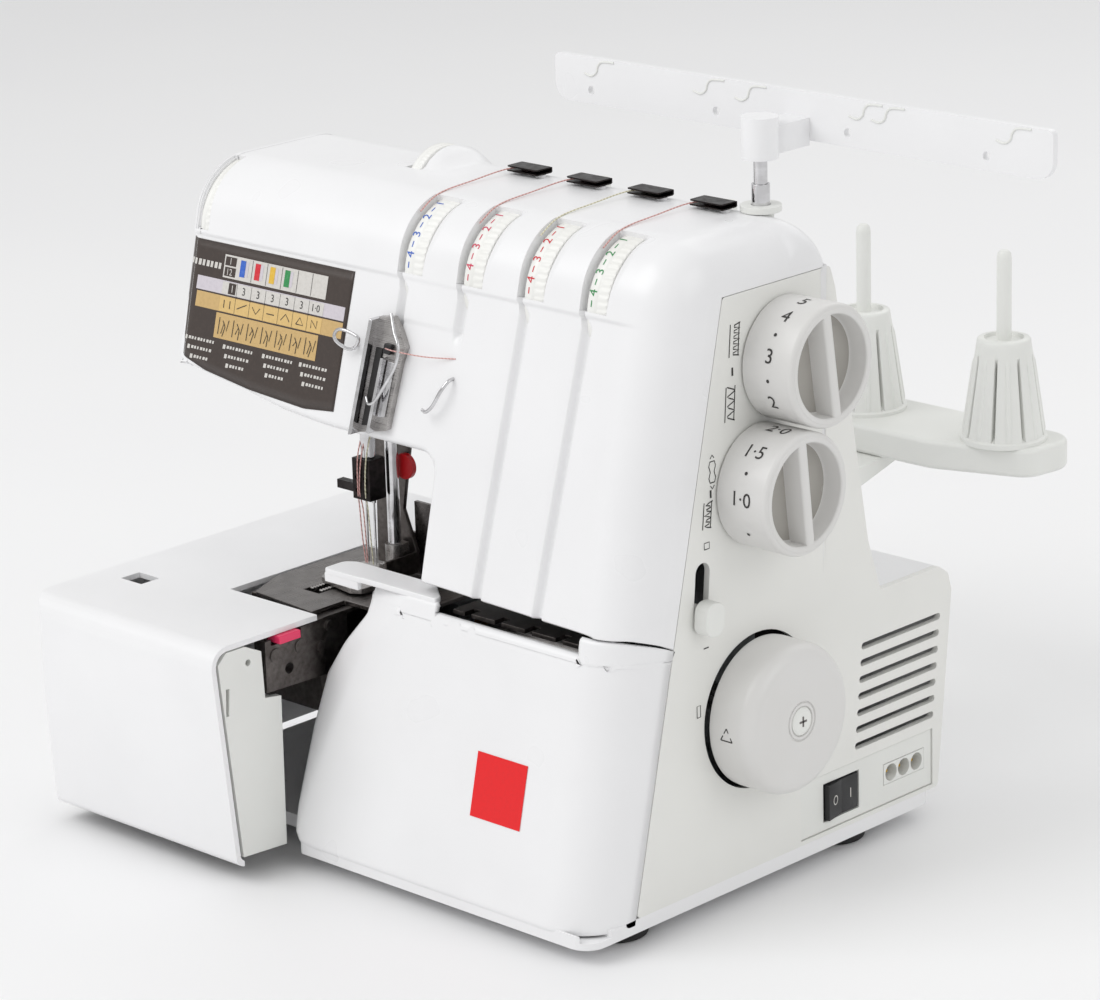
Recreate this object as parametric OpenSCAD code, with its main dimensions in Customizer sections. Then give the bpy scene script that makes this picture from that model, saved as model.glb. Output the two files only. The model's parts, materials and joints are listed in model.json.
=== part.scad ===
// Free-standing four-thread overlock sewing machine.
// X runs to the right along the machine, Y runs to the back, Z is up from the table.
// Inside the modules X = 0 is the right side panel's outer face, Y = 0 the base's front
// edge and Z = 0 the table; in_place() moves that to the middle of the footprint.

/* [Casing] */
// Height of the casing's top above the table
case_top = 295; // [285:1:354]
// Distance from the right side panel to the head's left end
head_reach = 297; // [280:1:357]
// Lean of the front face from vertical, in degrees
front_lean = 13.2; // [11:0.2:14]
// Wall of the casings
case_wall = 3; // [2.2:0.1:3.6]
// Width of the column under the head
column_w = 125; // [112:1:132]
// Depth of the front casing, from the base's front edge to its rear seam
case_depth = 150; // [146:1:160]
// Gap at every seam between two casing pieces
seam = 0.3; // [0.2:0.05:0.6]

/* [Lower body] */
// Height of the needle plate's top
bed_z = 112; // [108:0.5:116]
// Width of the lower body
body_w = 178; // [174:0.5:180]
// Rear of the motor housing at its widest, just below its top
body_back = 236; // [228:1:266]
// Height of the motor housing's top
hump_z = 118; // [114:0.5:122]
// Height of the looper cover's top edge
cover_top = 127.5; // [124:0.5:129]
// Underside of the upper casing at the front
slot_top = 136; // [135:0.1:140]

/* [Extension table] */
// Distance the table stands out past the head's left end
table_extra = 9; // [4:1:20]
// Distance the table's top edge stands in front of the base
table_front = 48; // [40:1:58]
// Rear of the table
table_back = 180; // [170:1:196]
// Wall of the table's shell
table_wall = 2.5; // [2:0.1:3]

/* [Knobs and dials] */
// Handwheel diameter
wheel_d = 67; // [56:0.5:68]
// Distance the handwheel stands out of the side panel
wheel_out = 24.6; // [20:0.2:30]
// Diameter of the stitch length and differential feed dials
side_dial_d = 53.6; // [44:0.2:54]
// Distance those dials stand out
side_dial_out = 28; // [22:0.5:34]
// Diameter of the tension dials
tension_d = 66; // [62:0.5:68]
// Width of a tension dial
tension_w = 11.6; // [9:0.2:13]
// Distance between two tension dials
tension_pitch = 36.2; // [32:0.1:38]

/* [Shafts] */
// Main shaft diameter
shaft_d = 12; // [10:0.5:14]
// Needle bar diameter
needle_bar_d = 7; // [6:0.1:8]
// Presser bar diameter
presser_bar_d = 6; // [5:0.1:7]
// Radial clearance of a shaft in its bore
running_gap = 0.05; // [0.02:0.01:0.1]

/* [Thread stand] */
// Rear edge of the spool stand
stand_back = 344; // [330:1:410]
// Height of the spool stand's top
stand_z = 150; // [140:1:160]
// Distance between two spool pins
spool_pitch = 84; // [76:1:88]
// Diameter of the telescopic pole's middle tube
pole_d = 8; // [7:0.2:9.6]
// Width of the thread bar
bar_w = 278; // [230:1:334]
// Height of the thread bar's plate
bar_h = 21; // [18:0.5:26]

/* [Hidden] */
$fn = 48;

white = "whitesmoke";
steel = "silver";
dark = "dimgray";

// Places that several pieces share
foot_h = 7;                       // the feet hold the base this far off the table
floor_z = 13.3;                   // top of the base tray, where the casings stand
seam_top = case_top - 23.6;       // top edge of the side panel
head_floor = case_top - 103;      // underside of the head
wheel_y = 103.6;                  // main shaft and handwheel axis
wheel_z = 85.3;
hinge_y = 0;                      // hinge of the looper cover
hinge_z = 20;
cover_low = 15;                   // bottom edge of the looper cover
cover_r = 117.6;                  // the cover's right end is cut on an arc about its hinge
dial_y = front_y(case_top - 33) + 32.8;   // axis of the tension dials
dial_z = case_top - 33;
needle_x = -193.5;                // needle bar axis
needle_y = 62;
needle_gap = 5;                   // distance between the two needles
presser_x = -189;                 // presser bar axis
presser_y = 72;
clamp_z = bed_z + 41;             // underside of the needle clamp
rocker_arm = 54;                  // from the needle rocker's shaft to the needle bar
rocker_y = needle_y + rocker_arm;
rocker_z = head_floor + 43;
lifter_y = 130;                   // presser lifter's pivot
lifter_z = head_floor + 29;
pole_x = -24;
pole_y = 137;
stitch_y = 122;                   // stitch length dial
stitch_z = case_top - 56.4;
feed_y = 104.7;                   // differential feed dial
feed_z = case_top - 108.4;
knob_y = 67.7;                    // plate setting slide, at the bottom of its slot
knob_z = 137.5;
knob_lean = 5.3;
motor_y = 192;
motor_z = 58;
pulley_x = -62;                   // left side of the belt and its two pulleys
pulley_w = 10;
drive_d = 60;
motor_pulley_d = 15;
table_left = head_reach + table_extra;
spool_first = -36;
stand_left = -spool_first + 3 * spool_pitch + 26;
stand_y = stand_back - 24;        // line of the spool pins
bar_right = 112;
left_reach = max(table_left, stand_left);
front_reach = min([for (p = table_rounded()) p.x]);
middle = [(bar_right - left_reach) / 2, (stand_back + front_reach) / 2, 0];

function front_y(z) = -10 + z * tan(front_lean);
function rear_y(z) = body_back + (z - hump_z + 13) * 0.109;   // rear of the motor housing leans back
function unit(v) = v / norm(v);

// Points of one corner rounded to radius r, between its neighbours a and b
function corner(p, a, b, r, n) = r < 0.01 ? [p] :
    let (u = unit(a - p), v = unit(b - p), half = acos(u * v) / 2,
        s = p + u * r / tan(half), e = p + v * r / tan(half),
        c = p + unit(u + v) * r / sin(half),
        from = atan2(s.y - c.y, s.x - c.x), swing = atan2(e.y - c.y, e.x - c.x) - from,
        turn = swing > 180 ? swing - 360 : swing < -180 ? swing + 360 : swing)
    [for (i = [0:n]) c + r * [cos(from + turn * i / n), sin(from + turn * i / n)]];

// Outline with each corner rounded to its own radius
function rounded(pts, radii, n = 6) = let (m = len(pts))
    [for (i = [0:m - 1]) each corner(pts[i], pts[(i + m - 1) % m], pts[(i + 1) % m],
        is_list(radii) ? radii[i] : radii, n)];

// Anticlockwise outline moved inwards by t
function inset(pts, t) = let (m = len(pts))
    [for (i = [0:m - 1]) let (u = unit(pts[i] - pts[(i + m - 1) % m]),
        v = unit(pts[(i + 1) % m] - pts[i]), a = [-u.y, u.x], b = [-v.y, v.x])
        pts[i] + t * (a + b) / (1 + a * b)];

module in_place() translate(-middle) children();
module along_x(x0, x1) translate([x0, 0, 0]) rotate([90, 0, 90]) linear_extrude(x1 - x0) children();
module along_y(y0, y1) translate([0, y1, 0]) rotate([90, 0, 0]) linear_extrude(y1 - y0) children();
module along_z(z0, z1) translate([0, 0, z0]) linear_extrude(z1 - z0) children();
module block(low, high) translate(low) cube(high - low);
module rod_x(y, z, d, x0, x1) translate([x0, y, z]) rotate([0, 90, 0]) cylinder(d = d, h = x1 - x0);
module rod_y(x, z, d, y0, y1) translate([x, y0, z]) rotate([-90, 0, 0]) cylinder(d = d, h = y1 - y0);
module rod_z(x, y, d, z0, z1) translate([x, y, z0]) cylinder(d = d, h = z1 - z0);
// A profile of [radius, distance along X] turned about an axis along X
module turned_x(y, z) translate([0, y, z]) rotate([0, 90, 0]) rotate_extrude() children();

// ---- casings ----

function side_outline() = [[front_y(floor_z) + 31, floor_z], [rear_y(floor_z), floor_z],
    [body_back, hump_z - 13], [body_back - 2.5, hump_z - 4.5], [body_back - 9, hump_z], [186, hump_z], [177.7, 143],
    [156.8, seam_top - 9.4], [153.5, seam_top], [front_y(seam_top) + 31, seam_top]];

module casing_outline() polygon(rounded([[front_y(bed_z + 1), bed_z + 1], [case_depth, bed_z + 1],
    [case_depth, case_top], [front_y(case_top), case_top]], [0, 0, 22, 30], 8));

module casing_hollow() polygon(rounded([[front_y(slot_top - 20) + case_wall, slot_top - 20],
    [case_depth - case_wall, slot_top - 20], [case_depth - case_wall, case_top - case_wall],
    [front_y(case_top - case_wall) + case_wall, case_top - case_wall]], [0, 0, 19, 27], 8));

function head_outline() = [[-head_reach, head_floor + 14], [-250, head_floor + 6],
    [-208, head_floor + 0.5], [-column_w, head_floor], [-column_w, bed_z - 20],
    [0, bed_z - 20], [0, case_top + 1], [-head_reach, case_top + 1]];

module base_tray() color(white) difference() {
    union() {
        along_z(foot_h, floor_z) polygon(rounded([[-body_w, -6], [0, -6], [0, body_back - 12],
            [-body_w, body_back - 12]], [4, 10, 10, 4]));
        along_z(foot_h, floor_z) polygon(rounded([[-286, 14], [-body_w - 0.2, 14],
            [-body_w - 0.2, 150], [-286, 150]], [12, 0, 0, 12]));
        block([-body_w - 1, 20, foot_h], [-body_w + 1, 144, floor_z]);
    }
    along_z(foot_h + 3, floor_z + 1) polygon(rounded([[-body_w + 6, 2], [-6, 2], [-6, 50],
        [-body_w + 6, 50]], 4));
    // room for the looper cover's lower edge as it swings
    block([-body_w - 2, -5, foot_h + 3], [1, 8, floor_z + 1]);
}

module rubber_feet() color("black")
    for (at = [[-20, 32], [-20, 176], [-268, 32], [-268, 134]])
        translate([at.x, at.y, 0]) cylinder(d1 = 28, d2 = 31, h = foot_h);

module front_casing() color(white) difference() {
    intersection() {
        along_x(-head_reach, 0) casing_outline();
        along_y(-10, 200) polygon(rounded(head_outline(), [16, 30, 0, 14, 0, 0, 9, 7]));
    }
    intersection() {
        along_x(-head_reach + case_wall, -case_wall) casing_hollow();
        along_y(-10, 200) polygon(inset(head_outline(), case_wall));
    }
    // the column is open at its foot and at the back, where the rear casing closes it
    block([-column_w + case_wall, 30, bed_z - 9], [-case_wall, case_depth + 1, bed_z + 6]);
    block([-column_w + case_wall, case_depth - 4, bed_z - 9], [-case_wall, case_depth + 1, seam_top]);
    // the front ends above the looper cover, on an arc that the cover swings clear of
    rod_x(hinge_y, hinge_z, 2 * cover_r + 0.8, -column_w - 1, 1);
    block([-column_w - 1, 0, bed_z], [-25, 52, slot_top]);
    // opening for the needle and presser bars, and for the knife
    block([-218, 54, head_floor - 5], [-155, 100, head_floor + 9]);
    // slot for the presser lifter
    block([-190, case_depth - 5, head_floor - 5], [-175, case_depth + 1, head_floor + 38]);
    // side panel's seat
    along_x(-case_wall - 0.1, 1) polygon(inset(side_outline(), -seam));
    // slots of the thumb wheels
    for (i = [0:3]) rod_x(dial_y, dial_z, tension_d + 1.8, tension_x(i) - 0.7, tension_x(i) + tension_w + 0.7);
    rod_x(dial_y, dial_z, tension_d + 1.8, -program_x() - 0.5, -program_x() + 6.5);
    rod_x(pressure_y(), case_top - 14, 44 + 1.8, -206.7, -197.3);
    // pole
    rod_z(pole_x, pole_y, pole_d + 4, case_top - 10, case_top + 1);
    // lamp
    block([-244, 62, head_floor - 5], [-221, 92, head_floor + 12]);
}

function tension_x(i) = -156.6 + i * tension_pitch;
function program_x() = head_reach - 8;
function pressure_y() = 123;

module rear_casing() color(white) difference() {
    union() {
        along_x(-body_w, -case_wall - seam) polygon(lower_outline());
        along_x(-column_w, -case_wall - seam) polygon(upper_outline());
    }
    along_x(-body_w + case_wall, 1) polygon(inset(lower_outline(), case_wall));
    along_x(-column_w + case_wall, 1) polygon(inset(upper_outline(), case_wall));
    // open towards the front casing and the looper space
    block([-body_w + case_wall, 90, floor_z - 1], [1, 104, bed_z - case_wall]);
    block([-column_w + case_wall, 90, bed_z - 9], [1, case_depth + case_wall, bed_z + 1]);
    block([-column_w + case_wall, case_depth - 1, bed_z - 9], [1, case_depth + 4, seam_top - 10]);
    block([-column_w + case_wall, case_depth - 1, bed_z - 9], [1, 181, hump_z + 10]);
    block([-body_w + case_wall, 90, floor_z - 1], [1, body_back - 15, floor_z + case_wall + 0.2]);
}

function lower_outline() = [[101, floor_z], [rear_y(floor_z), floor_z], [body_back, hump_z - 13],
    [body_back - 2.5, hump_z - 4.5], [body_back - 9, hump_z], [186, hump_z], [182, bed_z], [101, bed_z]];
function upper_outline() = [[case_depth + seam, bed_z], [190, bed_z], [177.7, 143],
    [156.8, seam_top - 9.4], [153.5, seam_top], [case_depth + seam, seam_top]];

module side_panel() color(white) difference() {
    along_x(-case_wall, 0) polygon(rounded(side_outline(), 2, 3));
    rod_x(wheel_y, wheel_z, wheel_d + 3, -case_wall - 1, 1);
    rod_x(stitch_y, stitch_z, 12, -case_wall - 1, 1);
    rod_x(feed_y, feed_z, 12, -case_wall - 1, 1);
    knob_frame() along_x(-case_wall - 1, 1) {
        square([9, 18], center = false);
        translate([4.5, 0]) circle(d = 9);
        translate([4.5, 18]) circle(d = 9);
    }
    for (i = [0:6]) along_x(-case_wall - 1, 1) translate([rear_y(49 + 7.6 * i) - 62, 47.4 + 7.6 * i])
        polygon(rounded([[0, 0], [55, 0], [55, 3.2], [0, 3.2]], 1.5, 4));
    along_x(-case_wall - 1, 1) polygon(inset(power_outline(), -seam));
}

module knob_frame() translate([0, knob_y, knob_z]) rotate([-knob_lean, 0, 0]) translate([0, -4.5, 0]) children();

function power_outline() = [[131, 15.5], [222, 15.5], [222, 42], [131, 42]];

// ---- mains switch and inlet ----

module power_panel() color(white) difference() {
    along_x(-case_wall, -0.6) polygon(power_outline());
    along_x(-case_wall - 1, 1) polygon([[146.8, 19.4], [171.2, 19.4], [171.2, 37.2], [146.8, 37.2]]);
    along_x(-case_wall - 1, 1) polygon([[188.2, 24.4], [216.8, 24.4], [216.8, 34.4], [188.2, 34.4]]);
}

module power_rocker() color("black") {
    along_x(-12, -1.4) polygon([[147.4, 20], [170.6, 20], [170.6, 36.6], [147.4, 36.6]]);
    along_z(20.2, 36.4) polygon([[-1.4, 147.6], [1.8, 148], [-0.6, 159], [-0.6, 170.2], [-1.4, 170.4]]);
}

module power_inlet() color("ivory") {
    difference() {
        along_x(-22, -0.6) polygon([[188.4, 24.6], [216.6, 24.6], [216.6, 34.2], [188.4, 34.2]]);
        for (i = [0:2]) rod_x(193.6 + 8.9 * i, 29.4, 8, -16, 0);
    }
    for (i = [0:2]) rod_x(193.6 + 8.9 * i, 29.4, 2.4, -18, -4);
}

// ---- front of the head ----

module program_panel() color("saddlebrown") {
    near = head_floor + 10;
    far = case_top - 34;
    intersection() {
        along_x(-head_reach + 4, -184) polygon([[front_y(near) - 0.6, near], [front_y(near) - 0.02, near],
            [front_y(far) - 0.02, far], [front_y(far) - 0.6, far]]);
        along_y(0, 100) polygon([[-290, near + 9], [-250, near + 3], [-187, near], [-184, far],
            [-head_reach + 4, far]]);
    }
}

module program_dial() color(white) thumb_wheel(dial_y, dial_z, tension_d, -program_x(), 6, 60);

module foot_pressure_dial() color(white) thumb_wheel(pressure_y(), case_top - 14, 44, -206, 8, 40);

// A wheel with a grooved rim on an axis along X
module thumb_wheel(y, z, d, x, w, teeth) difference() {
    union() {
        rod_x(y, z, d, x, x + w);
        rod_x(y, z, 12, x - 1, x + w + 1);
    }
    rod_x(y, z, 6 + 2 * running_gap, x - 2, x + w + 2);
    for (i = [0:teeth - 1]) translate([x + w * 0.5, y, z]) rotate([i * 360 / teeth, 0, 0])
        translate([0, -0.4, d / 2 - 0.35]) cube([w, 0.8, 1]);
}

// ---- looper cover ----

module looper_cover() color(white) {
    intersection() {
        along_x(-body_w, 0) polygon(cover_skin());
        along_y(-40, 60) polygon(rounded([[-body_w, cover_low], [0, cover_low], [0, slot_top],
            [-24, slot_top], [-28, cover_top], [-160, cover_top], [-163, 100], [-body_w, 62]],
            [14, 4, 0, 1, 1, 0, 8, 4]));
        cover_swing();
    }
    intersection() {
        along_x(-case_wall, 0) polygon([[front_y(cover_low), cover_low], [front_y(cover_low) + 30, cover_low],
            [front_y(slot_top) + 30, slot_top], [front_y(slot_top), slot_top]]);
        cover_swing();
    }
    // narrow shelf beside the needle plate
    block([-body_w, 20.5, cover_top - 1], [-column_w + 12, 24, 133]);
    block([-body_w, 20.5, 130], [-column_w - 1, 37, 133]);
    // ears on the hinge pins
    for (x = [-166, -26]) difference() {
        block([x, front_y(17) + 1, hinge_z - 4], [x + 6, hinge_y + 4, hinge_z + 4]);
        rod_x(hinge_y, hinge_z, 3 + 2 * running_gap, x - 1, x + 7);
    }
}

function cover_skin() = [[front_y(cover_low), cover_low], [front_y(cover_low) + case_wall, cover_low],
    [front_y(slot_top) + case_wall, slot_top], [front_y(slot_top), slot_top]];

// Everything within the arc that the cover's upper right corner sweeps
module cover_swing() rod_x(hinge_y, hinge_z, 2 * cover_r, -body_w - 1, 1);

module cover_hinge_pins() color(steel) for (x = [-168, -28]) {
    rod_x(hinge_y, hinge_z, 3, x, x + 16);
    block([x + 9.5, hinge_y, hinge_z - 1.4], [x + 15, hinge_y + 12, hinge_z + 2]);
    block([x + 9.5, hinge_y + 9, hinge_z - 6], [x + 15, hinge_y + 16, hinge_z + 2]);
}

// ---- extension table ----

function table_side() = [[-table_front + 10, 8], [table_back, 8], [table_back, bed_z], [-table_front, bed_z]];
function table_rounded() = rounded(table_side(), [5, 0, 12, 9]);
function table_plan() = [[-table_left, -table_front - 1], [-182, -table_front - 1], [-182, table_back + 1],
    [-table_left, table_back + 1]];

module extension_table() color(white) difference() {
    intersection() {
        along_x(-table_left, -182) polygon(table_rounded());
        along_z(0, 200) polygon(rounded(table_plan(), [16, 0, 0, 20]));
    }
    intersection() {
        along_x(-table_left + table_wall, -181) polygon(rounded(inset(table_side(), table_wall), [3, 0, 9, 6.5]));
        along_z(0, 200) polygon(rounded([[-table_left + table_wall, -table_front + table_wall],
            [-181, -table_front + table_wall], [-181, table_back - table_wall],
            [-table_left + table_wall, table_back - table_wall]], [13.5, 0, 0, 17.5]));
    }
    // open underneath
    block([-table_left + table_wall, -table_front + 14, 0], [-181, table_back - table_wall, 14]);
    // room for the free arm and its needle plate
    block([-239, 16, bed_z - 6], [-181, 101, bed_z + 1]);
    // finger hole in the top
    block([-290, -5, bed_z - 6], [-276, 6, bed_z + 1]);
    // rear part of the right end stands clear of the rear casing's foot
    block([-184, 14, 0], [-181, table_back + 1, 100]);
}

module table_inner_plate() color(white) difference() {
    along_x(-186, -182.4) polygon([[-table_front + 14.2, 12], [-8, 10.6], [-7, 80.5],
        [-16.5, 82], [-17.5, bed_z - 8], [-27, bed_z - 3.4], [-table_front + 10, bed_z - 3.4],
        [-table_front + 5, bed_z - 8]]);
    along_x(-190, -180) polygon([[-39.6, 79.5], [-38, 79.5], [-37, 92], [-39, 92]]);
    rod_x(-25.5, 100.8, 3, -190, -180);
}

// ---- free arm and stitching parts ----

module free_arm() color(dark) difference() {
    block([-234, 24, 62], [-186.2, 100, bed_z - 2.2]);
    block([-230, 28, 66], [-186, 96, bed_z + 1]);
}

module looper_side_plate() color("gray") {
    difference() {
        along_x(-186, -182) polygon([[-15.5, 84], [20, 83], [26, floor_z], [100, floor_z],
            [100, bed_z - 2.2], [22, bed_z - 2.2], [-15.5, bed_z - 4.5]]);
        along_x(-187, -181) polygon([[34, 36], [90, 36], [90, bed_z - 4], [34, bed_z - 4]]);
        rod_x(-1.8, 92, 5, -187, -181);
        block([-187, -12, bed_z - 7], [-181, 6, bed_z]);
        block([-187, needle_y - 6, bed_z - 6], [-181, needle_y + 6, bed_z]);
    }
    for (at = [[-9.7, 100], [5.2, 100.5]]) rod_x(at.x, at.y, 6.5, -182, -181.4);
    for (at = [[22.6, 105.5], [16.9, 97.5]]) rod_x(at.x, at.y, 5, -182, -180.6);
}

module release_button() color("crimson") {
    block([-187.5, -9.3, bed_z - 6.6], [-179, 3.3, bed_z - 2.8]);
}

module needle_plate() color(steel) difference() {
    along_z(bed_z - 2, bed_z) polygon(rounded([[-228, 21], [-187, 17.5], [-187, 38],
        [-150, 38], [-150, 99], [-237, 99], [-237, 42]], [3, 1, 1, 1, 1, 3, 8]));
    block([-199.5, needle_y - 2.5, bed_z - 3], [-187.5, needle_y + 2.5, bed_z + 1]);
    block([-213, 67, bed_z - 3], [-203, 95, bed_z + 1]);
    block([-213, 37, bed_z - 3], [-203, 60, bed_z + 1]);
    block([-188, needle_y - 4.2, bed_z - 3], [-182.2, needle_y + 4.2, bed_z + 1]);
}

module feed_dog(y0, y1) {
    for (x = [-212, -206]) along_x(x, x + 2)
        polygon([[y0, 104], [y1, 104], each [for (i = [9:-1:0]) each
            [[y0 + (y1 - y0) * (i + 1) / 10, bed_z + 0.1], [y0 + (y1 - y0) * (i + 0.3) / 10, bed_z + 0.6]]],
            [y0, bed_z + 0.1]]);
    block([-212, y0, 99], [-204, y1, 104]);
}

module main_feed_dog() color(steel) feed_dog(70, 92);
module differential_feed_dog() color(steel) feed_dog(40, 57);

module looper_guide_plate() color("gray") difference() {
    block([-107, 27, 126], [-27, 44, 128]);
    for (i = [0:3]) block([-100 + 18 * i, 26, 125], [-96 + 18 * i, 33, 129]);
}

// A flat lever on a pivot along Y, reaching from the pivot to its tip
module looper_lever(pivot, tip, y0, y1) difference() {
    union() {
        rod_y(pivot.x, pivot.y, 16, y0, y1);
        along_y(y0, y1) polygon([pivot + [0, 6], tip + [8, 5], tip + [-1, 2], tip,
            tip + [8, -5], pivot + [-2, -7]]);
    }
    rod_y(pivot.x, pivot.y, 8 + 2 * running_gap, y0 - 1, y1 + 1);
}

lower_pivot = [-150, 50];
upper_pivot = [-140, 70];

module lower_looper() color(steel) looper_lever(lower_pivot, [-192, 94], 66.5, 69);
module upper_looper() color(steel) looper_lever(upper_pivot, [-180, 100], 54, 57);

module lower_knife() color(steel) block([-187, needle_y - 3.6, 90], [-184.1, needle_y + 3.6, bed_z + 0.2]);

module knife_guard() color("gray") difference() {
    block([-200, 84, bed_z + 0.4], [-150, 86, bed_z + 35]);
    block([-196, 83, bed_z + 20], [-188, 87, bed_z + 36]);
}

module knife_arm() color("gray") {
    along_y(79, 81) polygon([[-206, head_floor + 8], [-180, head_floor + 8], [-190, bed_z + 32],
        [-182.6, bed_z + 14], [-182.6, bed_z + 4], [-208, bed_z + 4]]);
    // the blade, bent forward beside the lower knife
    block([-184, needle_y - 2, bed_z + 3], [-182.6, 80, bed_z + 13]);
}

module knife_knob() color("red") rod_y(-186, bed_z + 53.5, 12, 76, 78.8);

module presser_bar() color(steel) {
    rod_z(presser_x, presser_y, presser_bar_d, bed_z + 18, head_floor + 66);
    block([presser_x - 5, presser_y - 4, head_floor + 24], [presser_x + 5, presser_y + 12, head_floor + 30]);
}

module presser_foot() color(steel) difference() {
    union() {
        along_z(bed_z + 0.9, bed_z + 3.2) polygon(rounded([[-214, 48], [-190, 44], [-185, 47],
            [-185, 77.5], [-214, 77.5]], [3, 2, 2, 1, 1], 3));
        block([presser_x - 4, presser_y - 1, bed_z + 3.2], [presser_x + 4, presser_y + 5, bed_z + 18]);
        rod_z(presser_x, presser_y, presser_bar_d + 3, bed_z + 8, bed_z + 18);
    }
    block([-199.7, needle_y - 2.5, bed_z], [-187.3, needle_y + 2.5, bed_z + 9]);
}

module presser_lifter() color(dark) {
    difference() {
        rod_x(lifter_y, lifter_z, 14, -186, -180);
        rod_x(lifter_y, lifter_z, 8 + 2 * running_gap, -187, -179);
    }
    along_x(-185, -181) polygon([[lifter_y + 4.6, lifter_z + 2], [lifter_y + 4.6, lifter_z - 5],
        [case_depth + 22, lifter_z - 16], [case_depth + 30, lifter_z - 16],
        [case_depth + 30, lifter_z - 11], [case_depth + 20, lifter_z - 9]]);
    along_x(-191, -175) polygon([[case_depth + 30, lifter_z - 17], [case_depth + 46, lifter_z - 19],
        [case_depth + 46, lifter_z - 15], [case_depth + 30, lifter_z - 10]]);
}

module needle_bar() color(steel) {
    rod_z(needle_x, needle_y, needle_bar_d, clamp_z + 19, head_floor + 66);
    block([needle_x - 8, needle_y - 5, rocker_z - 4], [needle_x + 5, needle_y + 4.8, rocker_z + 4]);
    rod_x(needle_y, rocker_z, 5, needle_x - 16, needle_x - 8);
}

module needle_clamp() color("darkslategray") difference() {
    union() {
        block([needle_x - 5.5, needle_y - 5, clamp_z], [needle_x + 5.5, needle_y + 5, clamp_z + 19]);
        block([needle_x - 18, needle_y - 3, clamp_z + 2], [needle_x - 5.5, needle_y + 1, clamp_z + 6]);
    }
    for (z = [4, 10]) for (x = [-2.6, 2.6]) rod_y(needle_x + x, clamp_z + z, 2.6, needle_y - 6, needle_y - 2);
    for (x = [-needle_gap / 2, needle_gap / 2]) rod_z(needle_x + x, needle_y, 2 + 0.02, clamp_z - 1, clamp_z + 12);
}

module needles() color(steel) for (x = [-needle_gap / 2, needle_gap / 2]) translate([needle_x + x, needle_y, 0]) {
    translate([0, 0, clamp_z - 2]) cylinder(d = 2, h = 13);
    translate([0, 0, bed_z + 13]) cylinder(d = 1, h = clamp_z - 15 - bed_z);
    translate([0, 0, bed_z + 9]) cylinder(d1 = 0.3, d2 = 1, h = 4);
}

module needle_rocker() color("gray") {
    rod_x(rocker_y, rocker_z, 10, needle_x - 16, -60);
    difference() {
        along_x(needle_x - 16, needle_x - 11.5) polygon(rounded([[rocker_y + 8, rocker_z - 8],
            [rocker_y + 8, rocker_z + 8], [needle_y - 7.5, rocker_z + 6], [needle_y - 7.5, rocker_z - 6]], 3));
        along_x(needle_x - 17, needle_x - 11) polygon(rounded([[needle_y - 7.6, rocker_z - 3.2],
            [needle_y + 3.4, rocker_z - 3.2], [needle_y + 3.4, rocker_z + 3.2], [needle_y - 7.6, rocker_z + 3.2]], 0));
        rod_x(rocker_y, rocker_z, 9.9, needle_x - 17, needle_x - 11);
    }
    rod_x(rocker_y, rocker_z, 10, needle_x - 16, needle_x - 11.5);
    along_x(-72, -64) polygon([[rocker_y - 4, rocker_z], [rocker_y + 4, rocker_z],
        [rocker_y + 3, rocker_z - 12.5], [rocker_y - 3, rocker_z - 12.5]]);
}

// ---- thread path ----

module thread_guard() color(steel) {
    low = head_floor + 2;
    high = head_floor + 52;
    difference() {
        along_x(-172, -152) polygon([[front_y(low) - 8, low], [front_y(low) - 0.2, low],
            [front_y(high) - 0.2, high], [front_y(high) - 8, high]]);
        along_x(-170.8, -151) polygon([[front_y(low) - 9, low + 1.5], [front_y(low) - 2, low + 1.5],
            [front_y(high) - 2, high - 1.5], [front_y(high) - 9, high - 1.5]]);
    }
}

// A wire loop standing on the front face
module wire_loop(x, z, w, h) {
    translate([0, front_y(z), z]) rotate([-front_lean, 0, 0]) {
        for (side = [0, w]) rod_y(x + side, 0, 1.4, -h, -0.2);
        rod_x(-h, 0, 1.4, x - 0.7, x + w + 0.7);
    }
}

module thread_guides() color(steel) {
    wire_loop(-184, head_floor + 39, 9, 7);
    wire_loop(-134, head_floor + 22, 12, 6);
    for (i = [0:3]) thread_clip(tension_x(i) - 7.4);
}

module lamp_lens() color("lightgray") block([-243.6, 62.4, head_floor + 4], [-221.4, 91.6, head_floor + 6]);

module tension_dial(i) color(white) thumb_wheel(dial_y, dial_z, tension_d, tension_x(i), tension_w, 60);
module tension_dial_1() tension_dial(0);
module tension_dial_2() tension_dial(1);
module tension_dial_3() tension_dial(2);
module tension_dial_4() tension_dial(3);

module tension_units() color(steel) {
    // one rod carries the dials, with a pair of discs beside each
    rod_x(dial_y, dial_z, 6, tension_x(0) - 12, tension_x(3) + tension_w + 12);
    for (i = [0:3]) for (off = [2, 5]) difference() {
        rod_x(dial_y, dial_z, 26, tension_x(i) + tension_w + off, tension_x(i) + tension_w + off + 1);
        rod_x(dial_y, dial_z, 6, tension_x(i) + tension_w, tension_x(i) + tension_w + 9);
    }
    // and the rods of the program and foot pressure dials
    rod_x(dial_y, dial_z, 6, -program_x() - 3, -program_x() + 18);
    rod_x(pressure_y(), case_top - 14, 6, -212, -192);
}

// A sheet metal clip on top of the casing, left edge at x
module thread_clip(x) translate([x, 0, case_top]) {
    block([0, 131, 0.05], [18, 139, 1]);
    block([0, 131, 1], [2.4, 139, 2.2]);
    block([4, 130, 2.2], [18.6, 138, 3]);
    block([0, 131, 2.2], [4, 138, 3]);
}

module threads() color("lightcoral") for (i = [0:3]) {
    from = [tension_x(i) + 6, 130.8, case_top + 1.4];
    to = [tension_x(i) - 1.8, dial_y + 4, case_top + 0.5];
    along = to - from;
    translate(from) rotate([0, acos(along.z / norm(along)), atan2(along.y, along.x)])
        cylinder(d = 0.6, h = norm(along), $fn = 16);
}

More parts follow.
